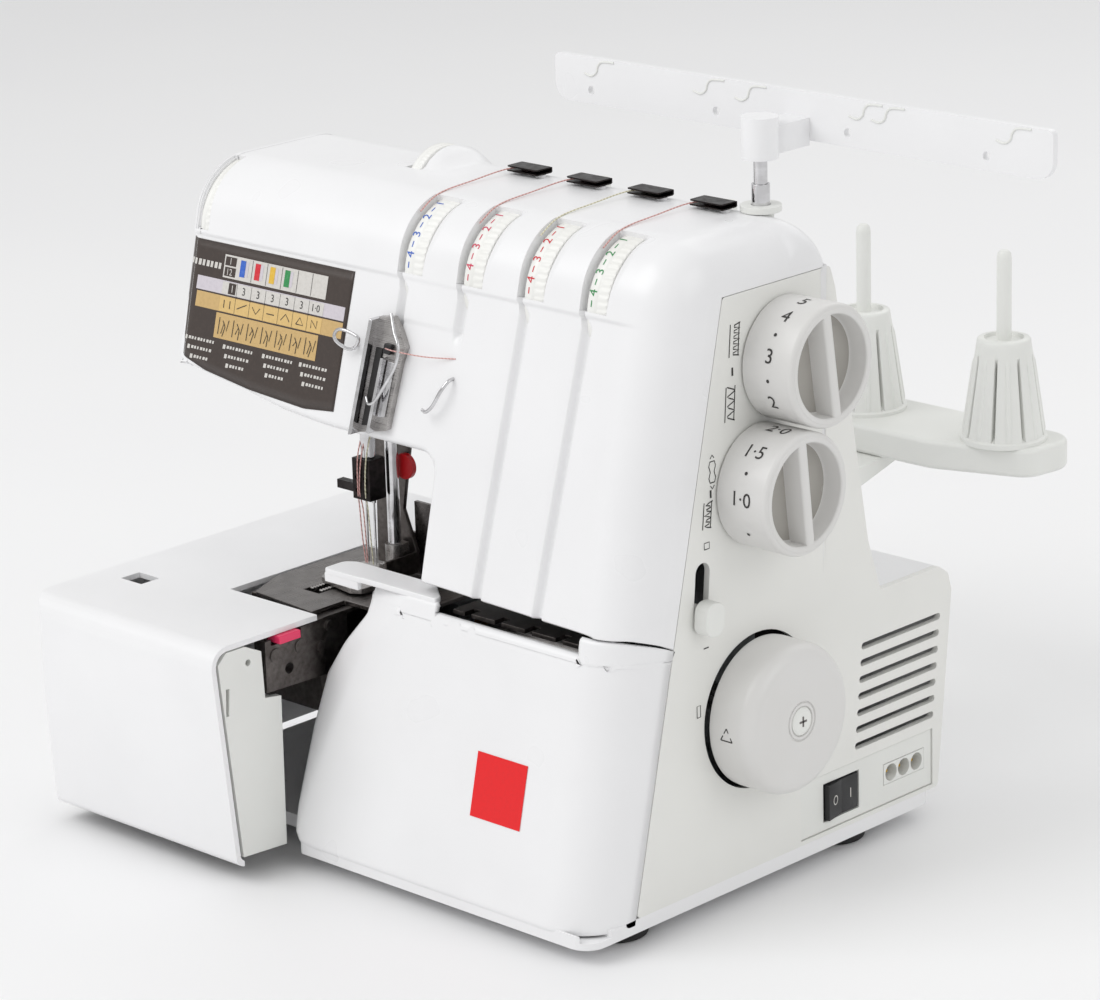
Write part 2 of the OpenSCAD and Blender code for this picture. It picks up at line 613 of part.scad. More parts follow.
// ---- knobs on the side ----

module side_dial(y, z, grip) {
    r = side_dial_d / 2;
    difference() {
        union() {
            turned_x(y, z) polygon([[0, 0.4], [r, 0.4], [r - 0.9, side_dial_out - 2],
                [r - 2.9, side_dial_out], [0, side_dial_out]]);
            rod_x(y, z, 8, -20, 0.4);
        }
        // two sunk half rounds leave the grip bar between them
        difference() {
            rod_x(y, z, side_dial_d - 9, side_dial_out - 9, side_dial_out + 1);
            translate([0, y, z]) rotate([grip, 0, 0])
                block([side_dial_out - 10, -3, -r], [side_dial_out + 2, 3, r]);
        }
    }
}

module stitch_length_dial() color(white) side_dial(stitch_y, stitch_z, 12);
module differential_dial() color(white) side_dial(feed_y, feed_z, 9);

module plate_setting_knob() color(white) knob_frame() {
    along_x(-case_wall - 6, 4) translate([4.5, 0]) circle(d = 8);
    along_x(1.2, 9) polygon(rounded([[-1.2, -8], [10.2, -8], [10.2, 7], [-1.2, 7]], 5, 6));
}

module handwheel() color("gainsboro") difference() {
    turned_x(wheel_y, wheel_z) polygon([[shaft_d / 2 + 0.03, -14], [12, -14], [12, -6],
        [wheel_d / 2 - 1, -6], [wheel_d / 2, -5], [wheel_d / 2, wheel_out - 8],
        each [for (a = [0:15:90]) [wheel_d / 2 - 8 + 8 * cos(a), wheel_out - 8 + 8 * sin(a)]],
        [9.2, wheel_out], [9.2, wheel_out - 4], [shaft_d / 2 + 0.03, wheel_out - 4]]);
    turned_x(wheel_y, wheel_z) polygon([[14, -7], [wheel_d / 2 - 3, -7],
        [wheel_d / 2 - 3, wheel_out - 12], [14, wheel_out - 12]]);
}

module handwheel_screw() color("gainsboro") difference() {
    turned_x(wheel_y, wheel_z) polygon([[0, wheel_out - 3.9], [8.8, wheel_out - 3.9],
        [8.8, wheel_out + 0.2], [8, wheel_out + 0.8], [0, wheel_out + 1.4]]);
    translate([wheel_out, wheel_y, wheel_z]) for (a = [0, 90]) rotate([a + 20, 0, 0])
        translate([0, -3, -0.7]) cube([3, 6, 1.4]);
}

// ---- drive ----

module main_shaft() color(steel) {
    rod_x(wheel_y, wheel_z, shaft_d, -170, wheel_out - 4.2);
    // pulley, and the eccentric that moves the loopers
    difference() {
        rod_x(wheel_y, wheel_z, drive_d, pulley_x, pulley_x + pulley_w);
        difference() {
            rod_x(wheel_y, wheel_z, drive_d + 2, pulley_x + 1.5, pulley_x + pulley_w - 1.5);
            rod_x(wheel_y, wheel_z, drive_d - 6, pulley_x, pulley_x + pulley_w);
        }
    }
    rod_x(wheel_y + 4, wheel_z, 26, -154, -146);
}

module shaft_bearings() color("goldenrod") for (x = [-172, -46]) difference() {
    rod_x(wheel_y, wheel_z, shaft_d + 8, x, x + 8);
    rod_x(wheel_y, wheel_z, shaft_d + 2 * running_gap, x - 1, x + 9);
}

module drive_belt() color("black") along_x(pulley_x + 2, pulley_x + pulley_w - 2) difference() {
    polygon(belt_outline(drive_d / 2 - 0.7, motor_pulley_d / 2 + 2.3));
    polygon(belt_outline(drive_d / 2 - 2.7, motor_pulley_d / 2 + 0.3));
}

// Outline of a band round the two pulleys: two arcs joined by their outer tangents
function belt_outline(r1, r2) =
    let (a = [wheel_y, wheel_z], b = [motor_y, motor_z],
        line = atan2(b.y - a.y, b.x - a.x), tip = acos((r1 - r2) / norm(b - a)), n = 24)
    concat([for (i = [0:n]) let (t = line + tip + (360 - 2 * tip) * i / n) a + r1 * [cos(t), sin(t)]],
        [for (i = [0:n]) let (t = line - tip + 2 * tip * i / n) b + r2 * [cos(t), sin(t)]]);

module motor() color(dark) difference() {
    union() {
        rod_x(motor_y, motor_z, 54, -158, -72);
        rod_x(motor_y, motor_z, 20, -168, -158);
        block([-150, motor_y - 20, floor_z], [-80, motor_y + 20, motor_z - 10]);
    }
    rod_x(motor_y, motor_z, 6 + 2 * running_gap, -169, -71);
}

module motor_pulley() color(steel) {
    rod_x(motor_y, motor_z, 6, -164, pulley_x);
    difference() {
        rod_x(motor_y, motor_z, motor_pulley_d + 5, pulley_x, pulley_x + pulley_w);
        difference() {
            rod_x(motor_y, motor_z, motor_pulley_d + 7, pulley_x + 1.5, pulley_x + pulley_w - 1.5);
            rod_x(motor_y, motor_z, motor_pulley_d, pulley_x, pulley_x + pulley_w);
        }
    }
}

module inner_frame() color("lightslategray") difference() {
    union() {
        block([-172, 60, floor_z], [-38, 145, 20]);
        block([-172, 86, 19], [-164, 145, bed_z - 10]);
        block([-182, 91, 22], [-171, 99, bed_z - 10]);
        block([-46, 60, 19], [-38, 145, bed_z - 10]);
        block([-46, 76, 80], [-38, 145, head_floor + 14]);
        block([-46, 44, 120], [-38, 77, 128]);
        block([-203.5, 106, head_floor + 14], [-38, 145, head_floor + 20]);
        block([-203.5, 54, head_floor + 14], [-174, 107, head_floor + 20]);
        for (x = [-174, -100]) block([x, 104, head_floor + 19], [x + 6, 128, rocker_z + 9]);
        block([-39, 126, stand_z - 2], [pole_x + 9, 147, stand_z + 4]);
        // pivots of the two loopers
        rod_y(lower_pivot.x, lower_pivot.y, 8, 60, 74);
        block([-166, 72, 44], [-142, 88, 56]);
        rod_y(upper_pivot.x, upper_pivot.y, 8, 50, 74);
        block([-166, 72, 64], [-134, 88, 76]);
        // pivot of the presser lifter
        rod_x(lifter_y, lifter_z, 8, -202, -174);
        block([-203.5, lifter_y - 6, head_floor + 19], [-197, lifter_y + 6, lifter_z + 6]);
    }
    for (x = [-172, -46]) rod_x(wheel_y, wheel_z, shaft_d + 8, x - 1, x + 9);
    rod_z(needle_x, needle_y, needle_bar_d + 2 * running_gap, head_floor + 10, head_floor + 24);
    rod_z(presser_x, presser_y, presser_bar_d + 2 * running_gap, head_floor + 10, head_floor + 24);
    for (x = [-174, -100]) rod_x(rocker_y, rocker_z, 10 + 2 * running_gap, x - 1, x + 8);
    rod_z(pole_x, pole_y, pole_d + 3.4, stand_z - 6, stand_z + 8);
}

// ---- thread stand ----

module pole_outer_tube() color(white) difference() {
    union() {
        rod_z(pole_x, pole_y, pole_d + 3.2, stand_z - 2, case_top + 1);
        rod_z(pole_x, pole_y, pole_d + 10, case_top + 0.1, case_top + 3);
    }
    rod_z(pole_x, pole_y, pole_d + 2 * running_gap, stand_z, case_top + 4);
}

module pole_middle_tube() color(steel) difference() {
    rod_z(pole_x, pole_y, pole_d, stand_z + 2, case_top + 12);
    rod_z(pole_x, pole_y, pole_d - 2 + 2 * running_gap, stand_z + 4, case_top + 13);
}

module pole_rod() color(steel) rod_z(pole_x, pole_y, pole_d - 2, stand_z + 6, case_top + 35);

module thread_bar() color(white) {
    low = case_top + 27;
    difference() {
        translate([0, pole_y + 24, 0]) along_y(0, 3) polygon(rounded([[bar_right - bar_w, low],
            [bar_right, low], [bar_right, low + bar_h], [bar_right - bar_w, low + bar_h]],
            [8, 8, 3, 3]));
        for (i = [0:3]) rod_y(bar_right - bar_w + 22 + i * 74, low + 6, 4, pole_y + 22, pole_y + 30);
    }
    // arm from the rod to the bar
    difference() {
        union() {
            block([pole_x - 7, pole_y, low - 2], [pole_x + 7, pole_y + 24, low + 10]);
            rod_z(pole_x, pole_y, 16, low - 4, low + 14);
        }
        rod_z(pole_x, pole_y, pole_d - 2 + 2 * running_gap, low - 5, low + 9);
    }
}

module spool_stand() color(white) {
    along_z(stand_z - 14, stand_z) polygon(rounded([[-stand_left, stand_back - 50],
        [-60, stand_back - 50], [-13, stand_back - 34], [-8, stand_back],
        [-stand_left, stand_back]], [14, 30, 12, 14, 14]));
    // arm to the machine's back
    along_x(-160, -90) polygon([[rear_y(40) + 0.1, 40], [body_back + 4, 40], [body_back + 12, stand_z - 34],
        [stand_back - 20, stand_z - 14], [stand_back - 50, stand_z - 14], [body_back + 6, stand_z - 20],
        [rear_y(100) + 0.1, 100]]);
    for (i = [0:3]) translate([spool_first - i * spool_pitch, stand_y, stand_z]) {
        cylinder(d = 7, h = 90);
        cylinder(d1 = 38.4, d2 = 25, h = 48.6);
    }
}

in_place() base_tray();
in_place() rubber_feet();
in_place() inner_frame();
in_place() front_casing();
in_place() rear_casing();
in_place() side_panel();
in_place() power_panel();
in_place() power_rocker();
in_place() power_inlet();
in_place() program_panel();
in_place() program_dial();
in_place() foot_pressure_dial();
in_place() looper_cover();
in_place() cover_hinge_pins();
in_place() extension_table();
in_place() table_inner_plate();
in_place() release_button();
in_place() free_arm();
in_place() looper_side_plate();
in_place() needle_plate();
in_place() looper_guide_plate();
in_place() main_feed_dog();
in_place() differential_feed_dog();
in_place() lower_looper();
in_place() upper_looper();
in_place() lower_knife();
in_place() knife_guard();
in_place() knife_arm();
in_place() knife_knob();
in_place() presser_bar();
in_place() presser_foot();
in_place() presser_lifter();
in_place() needle_bar();
in_place() needle_clamp();
in_place() needles();
in_place() needle_rocker();
in_place() thread_guard();
in_place() thread_guides();
in_place() lamp_lens();
in_place() tension_dial_1();
in_place() tension_dial_2();
in_place() tension_dial_3();
in_place() tension_dial_4();
in_place() tension_units();
in_place() threads();
in_place() stitch_length_dial();
in_place() differential_dial();
in_place() plate_setting_knob();
in_place() handwheel();
in_place() handwheel_screw();
in_place() main_shaft();
in_place() shaft_bearings();
in_place() drive_belt();
in_place() motor();
in_place() motor_pulley();
in_place() pole_outer_tube();
in_place() pole_middle_tube();
in_place() pole_rod();
in_place() thread_bar();
in_place() spool_stand();
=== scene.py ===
import json
import math

import bmesh
import bpy
import numpy as np
from mathutils import Matrix, Vector

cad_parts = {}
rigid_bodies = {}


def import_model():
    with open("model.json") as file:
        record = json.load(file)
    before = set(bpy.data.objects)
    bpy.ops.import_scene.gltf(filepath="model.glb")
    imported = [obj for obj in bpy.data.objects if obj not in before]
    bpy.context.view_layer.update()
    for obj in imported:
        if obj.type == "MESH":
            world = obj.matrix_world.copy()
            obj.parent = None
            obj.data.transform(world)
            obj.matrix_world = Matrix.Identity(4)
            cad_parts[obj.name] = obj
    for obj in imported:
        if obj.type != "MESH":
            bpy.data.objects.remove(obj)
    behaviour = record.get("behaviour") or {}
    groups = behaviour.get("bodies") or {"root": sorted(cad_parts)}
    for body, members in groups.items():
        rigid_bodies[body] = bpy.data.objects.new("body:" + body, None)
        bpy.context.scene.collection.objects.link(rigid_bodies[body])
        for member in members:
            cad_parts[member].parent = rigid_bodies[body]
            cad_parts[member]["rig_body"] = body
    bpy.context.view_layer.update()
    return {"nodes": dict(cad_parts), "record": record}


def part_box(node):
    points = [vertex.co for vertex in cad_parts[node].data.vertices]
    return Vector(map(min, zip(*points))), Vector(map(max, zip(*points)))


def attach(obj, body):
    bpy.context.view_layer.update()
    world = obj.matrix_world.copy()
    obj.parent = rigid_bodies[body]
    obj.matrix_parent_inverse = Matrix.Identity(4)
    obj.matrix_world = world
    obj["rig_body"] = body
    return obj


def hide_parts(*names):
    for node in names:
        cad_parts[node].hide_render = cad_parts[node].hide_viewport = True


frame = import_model()
print("frame loaded:", len(frame["nodes"]), "nodes")

# Lengths are mm from the machine's own zero: right side panel's face, base's front line, table top.
mm = 0.001
zeroPoint = np.array([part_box("side_panel")[1].x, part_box("base_tray")[0].y + 6 * mm, 0.0])


def nodeBox(name):
    low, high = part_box(name)
    return (np.array(low) - zeroPoint) / mm, (np.array(high) - zeroPoint) / mm


machine = {
    "top": nodeBox("front_casing")[1][2],
    "headLeft": nodeBox("front_casing")[0][0],
    "columnLeft": -125.0,
    "headFloor": nodeBox("front_casing")[1][2] - 103,
    "frontLean": 13.2,  # degrees from vertical
    "baseFront": -10.0,
    "sideSeam": 31.0,  # how far behind the front face the side panel starts
}
leanSlope = math.tan(math.radians(machine["frontLean"]))


def frontY(z):
    return machine["baseFront"] + np.asarray(z, float) * leanSlope


def smooth(x, low, high):
    t = np.clip((np.asarray(x, float) - low) / (high - low), 0, 1)
    return t * t * (3 - 2 * t)


# A grid of rows x columns points, numbered row by row, gives one four-cornered face per cell.
def gridFaces(rows, columns, closeColumns=False, flip=False):
    r = np.arange(rows - 1)[:, None]
    c = np.arange(columns if closeColumns else columns - 1)[None, :]
    r2, c2 = r + 1, (c + 1) % columns
    quads = np.stack([r * columns + c, r * columns + c2, r2 * columns + c2, r2 * columns + c], -1)
    quads = quads.reshape(-1, 4)
    return quads[:, ::-1] if flip else quads


def meshObject(name, parts, materials, sharpAngle=35, merge=0.002):
    # parts: (points in mm, faces as an array or a list, material number)
    points, faces, numbers, start = [], [], [], 0
    for vertices, polygons, number in parts:
        vertices = np.asarray(vertices, float).reshape(-1, 3)
        polygons = polygons.tolist() if isinstance(polygons, np.ndarray) else polygons
        points.append(vertices)
        faces += [[i + start for i in p] for p in polygons]
        numbers += [number] * len(polygons)
        start += len(vertices)
    mesh = bpy.data.meshes.new(name)
    mesh.from_pydata((np.concatenate(points) * mm + zeroPoint).tolist(), [], faces)
    for material in materials:
        mesh.materials.append(material)
    mesh.polygons.foreach_set("material_index", np.array(numbers, np.int32))
    tidy = bmesh.new()
    tidy.from_mesh(mesh)
    bmesh.ops.remove_doubles(tidy, verts=tidy.verts, dist=merge * mm)
    bmesh.ops.dissolve_degenerate(tidy, edges=tidy.edges, dist=1e-7)
    tidy.to_mesh(mesh)
    tidy.free()
    mesh.polygons.foreach_set("use_smooth", np.ones(len(mesh.polygons), bool))
    mesh.set_sharp_from_angle(angle=math.radians(sharpAngle))
    piece = bpy.data.objects.new(name, mesh)
    bpy.context.scene.collection.objects.link(piece)
    return piece


def settle(piece, body, slot, *nodes):
    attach(piece, body)
    if nodes:
        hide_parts(*nodes)
    return piece


def outward(piece):
    # makes every closed shell of the piece face outwards
    tidy = bmesh.new()
    tidy.from_mesh(piece.data)
    bmesh.ops.recalc_face_normals(tidy, faces=tidy.faces)
    tidy.to_mesh(piece.data)
    tidy.free()
    return piece


def closedPiece(name, parts, materials, sharpAngle=35, merge=0.002):
    return outward(meshObject(name, parts, materials, sharpAngle, merge))


def roundEdges(piece, width, segments=2):
    bevel = piece.modifiers.new("roundedEdges", "BEVEL")
    bevel.width = width * mm
    bevel.segments = segments
    bevel.limit_method = "ANGLE"
    bevel.angle_limit = math.radians(30)
    bevel.harden_normals = True
    return piece


def giveWall(piece, thickness):
    wall = piece.modifiers.new("wall", "SOLIDIFY")
    wall.thickness = thickness * mm
    wall.offset = -1  # inwards
    return piece


# The same outline with each corner replaced by an arc of its own radius, steps pieces long.
def roundedOutline(corners, radii, steps=6):
    corners = np.asarray(corners, float)
    count = len(corners)
    radii = np.broadcast_to(radii, count)
    result = []
    for i in range(count):
        before, here, after = corners[i - 1], corners[i], corners[(i + 1) % count]
        u = (before - here) / np.linalg.norm(before - here)
        v = (after - here) / np.linalg.norm(after - here)
        half = np.arccos(np.clip(u @ v, -1, 1)) / 2
        centre = here + (u + v) / np.linalg.norm(u + v) * radii[i] / math.sin(half)
        start, end = here + u * radii[i] / math.tan(half), here + v * radii[i] / math.tan(half)
        a0 = math.atan2(start[1] - centre[1], start[0] - centre[0])
        turn = math.atan2(end[1] - centre[1], end[0] - centre[0]) - a0
        turn = (turn + math.pi) % (2 * math.pi) - math.pi
        angles = a0 + turn * np.linspace(0, 1, steps + 1)
        result.append(centre + radii[i] * np.stack([np.cos(angles), np.sin(angles)], 1))
    return np.concatenate(result)


# A profile of (radius, distance along the axis) turned about an x or z axis through centre.
def turnedGrid(profile, centre, axis="x", sides=64, ripple=None):
    profile = np.asarray(profile, float)
    angles = np.linspace(0, 2 * math.pi, sides, endpoint=False)
    radius = np.repeat(profile[:, :1], sides, 1)
    along = np.repeat(profile[:, 1:], sides, 1)
    if ripple is not None:
        radius = radius + ripple(along, angles[None, :])
    c, s = np.cos(angles)[None, :] * radius, np.sin(angles)[None, :] * radius
    grid = (along, c, s) if axis == "x" else (c, s, along)
    return np.stack(grid, -1).reshape(-1, 3) + np.asarray(centre, float)


def turnedPart(profile, centre, axis="x", sides=64, number=0, ripple=None):
    grid = turnedGrid(profile, centre, axis, sides, ripple)
    return grid, gridFaces(len(profile), sides, closeColumns=True, flip=axis == "x"), number


# A round tube along a path, its ends closed by one face each.
def sweptTube(path, radius, sides):
    path = np.asarray(path, float)
    count = len(path)
    radius = np.broadcast_to(radius, count)[:, None, None]
    ahead = np.roll(path, -1, 0) - np.roll(path, 1, 0)
    ahead[0], ahead[-1] = path[1] - path[0], path[-1] - path[-2]
    ahead /= np.linalg.norm(ahead, axis=1)[:, None]
    spread = path.max(0) - path.min(0)
    flat = np.eye(3)[int(np.argmin(spread))]
    side = np.cross(ahead, flat)
    side /= np.linalg.norm(side, axis=1)[:, None]
    up = np.cross(side, ahead)
    angles = np.linspace(0, 2 * math.pi, sides, endpoint=False)[None, :, None]
    points = path[:, None] + radius * (np.cos(angles) * side[:, None] + np.sin(angles) * up[:, None])
    faces = gridFaces(count, sides, closeColumns=True).tolist()
    faces += [list(range(sides))[::-1], list(range((count - 1) * sides, count * sides))]
    return points.reshape(-1, 3), faces


# A smooth line through a few given points.
def curveThrough(points, count=24):
    points = np.asarray(points, float)
    spans = len(points) - 1
    t = np.linspace(0, spans, count)
    k = np.minimum(t.astype(int), spans - 1)
    f = (t - k)[:, None]
    a, b, c, d = (points[np.clip(k + step, 0, spans)] for step in (-1, 0, 1, 2))
    return 0.5 * (2 * b + (c - a) * f + (2 * a - 5 * b + 4 * c - d) * f**2 + (3 * b - a - 3 * c + d) * f**3)


# A flat outline given thickness along the third axis, x or z, as one closed solid.
def slabPart(outline, low, high, axis):
    outline = np.asarray(outline, float)
    count = len(outline)

    def lay(level):
        flat = np.full(count, float(level))
        return np.stack([flat, *outline.T] if axis == "x" else [*outline.T, flat], 1)

    points = np.concatenate([lay(low), lay(high)])
    faces = gridFaces(2, count, closeColumns=True).tolist()
    faces += [list(range(count))[::-1], list(range(count, 2 * count))]
    area = np.sum(outline[:, 0] * np.roll(outline[:, 1], -1) - np.roll(outline[:, 0], -1) * outline[:, 1])
    if area < 0:
        faces = [f[::-1] for f in faces]
    return points, faces, 0


def boxPart(low, high):
    (x0, y0, z0), (x1, y1, z1) = low, high
    return slabPart([(x0, y0), (x1, y0), (x1, y1), (x0, y1)], z0, z1, "z")


cameraView = {"azimuth": 44.249, "elevation": 17.28, "roll": -1.689, "lens": 137.8,
              "at": (1124.06, -1174.90, 710.87)}


def placeCamera():
    a, e, r = (math.radians(cameraView[k]) for k in ("azimuth", "elevation", "roll"))
    forward = Vector((-math.sin(a) * math.cos(e), math.cos(a) * math.cos(e), -math.sin(e)))
    level = Vector((math.cos(a), math.sin(a), 0))
    upright = level.cross(forward)
    right = math.cos(r) * level + math.sin(r) * upright
    up = -math.sin(r) * level + math.cos(r) * upright
    camera = bpy.data.objects.new("camera", bpy.data.cameras.new("camera"))
    camera.data.lens = cameraView["lens"]
    camera.data.sensor_width = 36
    camera.data.clip_end = 50
    turn = Matrix((right, up, -forward)).transposed().to_4x4()
    at = Vector(np.array(cameraView["at"]) * mm + zeroPoint)
    camera.matrix_world = Matrix.Translation(at) @ turn
    bpy.context.scene.collection.objects.link(camera)
    bpy.context.scene.camera = camera


studio = {
    "sky": 0.68,
    "keyLight": {"at": (-900, -1300, 1700), "size": 1500, "watts": 19},
    "sideLight": {"at": (1700, 300, 1300), "size": 1300, "watts": 5.5},
    "backLight": {"at": (-300, 1700, 1500), "size": 1500, "watts": 6},
}


def placeLight(name, at, size, watts):
    light = bpy.data.lights.new(name, "AREA")
    light.size = size * mm
    light.energy = watts
    lamp = bpy.data.objects.new(name, light)
    place = Vector(np.array(at, float) * mm + zeroPoint)
    target = Vector(np.array([-120, 90, 130]) * mm + zeroPoint)
    turn = (target - place).to_track_quat("-Z", "Y").to_matrix().to_4x4()
    lamp.matrix_world = Matrix.Translation(place) @ turn
    bpy.context.scene.collection.objects.link(lamp)


def toLinear(code):
    parts = [int(code[i:i + 2], 16) / 255 for i in (1, 3, 5)]
    return tuple(p / 12.92 if p <= 0.04045 else ((p + 0.055) / 1.055) ** 2.4 for p in parts) + (1.0,)


def addNode(tree, kind, inputs=None, **settings):
    made = tree.nodes.new(kind)
    for name, value in settings.items():
        setattr(made, name, value)
    for name, value in (inputs or {}).items():
        if isinstance(value, bpy.types.NodeSocket):
            tree.links.new(value, made.inputs[name])
        else:
            made.inputs[name].default_value = value
    return made


def startMaterial(name, **surface):
    material = bpy.data.materials.new(name)
    material.use_nodes = True
    tree = material.node_tree
    shader = tree.nodes["Principled BSDF"]
    for socket, value in surface.items():
        shader.inputs[socket.replace("_", " ")].default_value = value
    place = addNode(tree, "ShaderNodeTexCoord").outputs["Object"]
    return material, tree, shader, place


def perMillimetre(size):
    return 1 / (size * mm)  # a noise scale whose features are about this many mm wide


def noiseOver(tree, place, size, detail, **more):
    inputs = {"Vector": place, "Scale": perMillimetre(size), "Detail": detail, **more}
    return addNode(tree, "ShaderNodeTexNoise", inputs).outputs["Fac"]


# A value between start and end becomes one between low and high.
def valueRange(tree, value, low, high, start=0.0, end=1.0):
    inputs = {"Value": value, "From Min": start, "From Max": end, "To Min": low, "To Max": high}
    return addNode(tree, "ShaderNodeMapRange", inputs).outputs["Result"]


def giveGrain(tree, shader, height, strength, depth):
    bump = addNode(tree, "ShaderNodeBump", {"Height": height, "Strength": strength, "Distance": depth * mm})
    tree.links.new(bump.outputs["Normal"], shader.inputs["Normal"])


def giveColour(tree, shader, factor, low, high):
    mix = addNode(tree, "ShaderNodeMix", {"Factor": factor}, data_type="RGBA")
    mix.inputs["A"].default_value = toLinear(low)
    mix.inputs["B"].default_value = toLinear(high)
    tree.links.new(mix.outputs["Result"], shader.inputs["Base Color"])


def giveGloss(tree, shader, value):
    tree.links.new(value, shader.inputs["Roughness"])


# ABS moulded in a polished or a spark-eroded tool: a white body with a soft gloss, a fine even
# grain, slow waves in the gloss where the melt cooled unevenly, and a hint of grey where hands rub.
def mouldedAbs(name, light, shade, roughness, grain, grainDepth):
    material, tree, shader, place = startMaterial(name, IOR=1.53)
    wave = noiseOver(tree, place, 45, 2.0)
    fine = noiseOver(tree, place, grain, 3.0, Roughness=0.6)
    smudge = noiseOver(tree, place, 30, 1.5)
    giveColour(tree, shader, valueRange(tree, wave, 0.0, 0.5, 0.35, 0.75), light, shade)
    giveGloss(tree, shader, valueRange(tree, smudge, roughness - 0.03, roughness + 0.04, 0.3, 0.7))
    giveGrain(tree, shader, fine, 0.5, grainDepth)
    return material


# Steel or plated steel: streaks left by grinding run one way, so the noise is drawn out along it.
def workedMetal(name, light, shade, roughness=0.28, streak=(30, 0.25, 0.25), depth=0.012, spots=0.0):
    material, tree, shader, place = startMaterial(name, Metallic=1.0)
    drawn = addNode(tree, "ShaderNodeMapping", {"Vector": place,
                                                "Scale": tuple(perMillimetre(s) for s in streak)})
    streaks = addNode(tree, "ShaderNodeTexNoise", {"Vector": drawn.outputs["Vector"], "Scale": 1.0,
                                                   "Detail": 3.0}).outputs["Fac"]
    cloud = noiseOver(tree, place, 7, 4.0)
    tone = addNode(tree, "ShaderNodeMath", {0: cloud, 1: streaks}, operation="MULTIPLY").outputs["Value"]
    giveColour(tree, shader, valueRange(tree, tone, 0.0, 1.0, 0.12, 0.45), shade, light)
    giveGloss(tree, shader, valueRange(tree, streaks, max(roughness - 0.08, 0.03), roughness + 0.1, 0.3, 0.7))
    height = streaks
    if spots:
        pits = addNode(tree, "ShaderNodeTexVoronoi", {"Vector": place, "Scale": perMillimetre(0.9)})
        height = addNode(tree, "ShaderNodeMath", {0: pits.outputs["Distance"], 1: spots, 2: streaks},
                         operation="MULTIPLY_ADD").outputs["Value"]
    giveGrain(tree, shader, height, 0.6, depth)
    return material


# Vulcanised rubber: matt black with a dusty grey bloom and a coarse grain.
def footRubber(name="vulcanisedRubber", dark="#0c0c0d", bloom="#262627"):
    material, tree, shader, place = startMaterial(name, IOR=1.52)
    dust = noiseOver(tree, place, 5, 5.0)
    giveColour(tree, shader, dust, dark, bloom)
    giveGloss(tree, shader, valueRange(tree, dust, 0.55, 0.85))
    giveGrain(tree, shader, noiseOver(tree, place, 0.6, 2.0), 0.6, 0.08)
    return material


# Screen-printed ink: a thin satin film whose cover varies a little, so that it isn't one flat colour.
def printedInk(name, colour, thin, roughness=0.42):
    material, tree, shader, place = startMaterial(name, IOR=1.5)
    cover = noiseOver(tree, place, 1.5, 5.0)
    giveColour(tree, shader, valueRange(tree, cover, 0.0, 0.6, 0.45, 0.8), colour, thin)
    giveGloss(tree, shader, valueRange(tree, cover, roughness - 0.08, roughness + 0.1))
    giveGrain(tree, shader, cover, 0.3, 0.02)
    return material


# Spun polyester: two plies twisted together, soft and a little fuzzy.
def twistedThread(name, colour, shadow):
    material, tree, shader, place = startMaterial(name, Roughness=0.75, Sheen_Weight=0.4)
    scale = perMillimetre(1.1) / (2 * math.pi) * 2
    ply = addNode(tree, "ShaderNodeTexWave", {"Vector": place, "Scale": scale, "Distortion": 1.5,
                                              "Detail": 2.0}, bands_direction="DIAGONAL").outputs["Fac"]
    giveColour(tree, shader, ply, shadow, colour)
    giveGrain(tree, shader, ply, 0.8, 0.1)
    return material


# Frosted polycarbonate lens over the sewing lamp.
def frostedLens():
    material, tree, shader, place = startMaterial("frostedPolycarbonate", IOR=1.58, Transmission_Weight=0.5)
    frost = noiseOver(tree, place, 0.8, 3.0)
    giveColour(tree, shader, frost, "#e9e6dc", "#cfccc2")
    giveGloss(tree, shader, valueRange(tree, frost, 0.3, 0.55))
    giveGrain(tree, shader, frost, 0.4, 0.05)
    return material


# Painted floor board for the studio: pale and almost even.
def studioFloor():
    material, tree, shader, place = startMaterial("studioFloor", Roughness=0.6)
    giveColour(tree, shader, noiseOver(tree, place, 400, 2.0), "#f6f6f6", "#f1f1f2")
    return material


casingWhite = mouldedAbs("mouldedAbsGlossWhite", "#f0f0f1", "#eaeaeb", 0.3, 0.5, 0.012)
# Side panel white: the casing's white made a little darker and warmer, painted shade for the side that faces
# away from the key light; the raised lines on the head's top take it too.
shadedPanelWhite = mouldedAbs("mouldedAbsSidePanelPaintedShade", "#eaeae6", "#e3e3df", 0.34, 0.5, 0.014)
tableWhite = mouldedAbs("mouldedAbsTable", "#f1f1f2", "#ebebec", 0.32, 0.5, 0.012)
softWhite = mouldedAbs("mouldedAbsSatinWhite", "#e9eae6", "#e0e1dd", 0.42, 0.6, 0.02)
dialWhite = mouldedAbs("mouldedAbsDial", "#f2f2ef", "#e6e5df", 0.36, 0.5, 0.03)
knobGrey = mouldedAbs("mouldedAbsWarmGrey", "#dddcda", "#d4d3cf", 0.33, 0.5, 0.012)
# Floor of the side dials' wells: a darker grey than the dial, painted shade for the recess.
shadedKnobWell = mouldedAbs("knobWellPaintedShade", "#a9a6a0", "#9a9791", 0.25, 0.5, 0.02)
blackAbs = mouldedAbs("mouldedAbsBlack", "#17171a", "#0e0e10", 0.36, 0.5, 0.05)
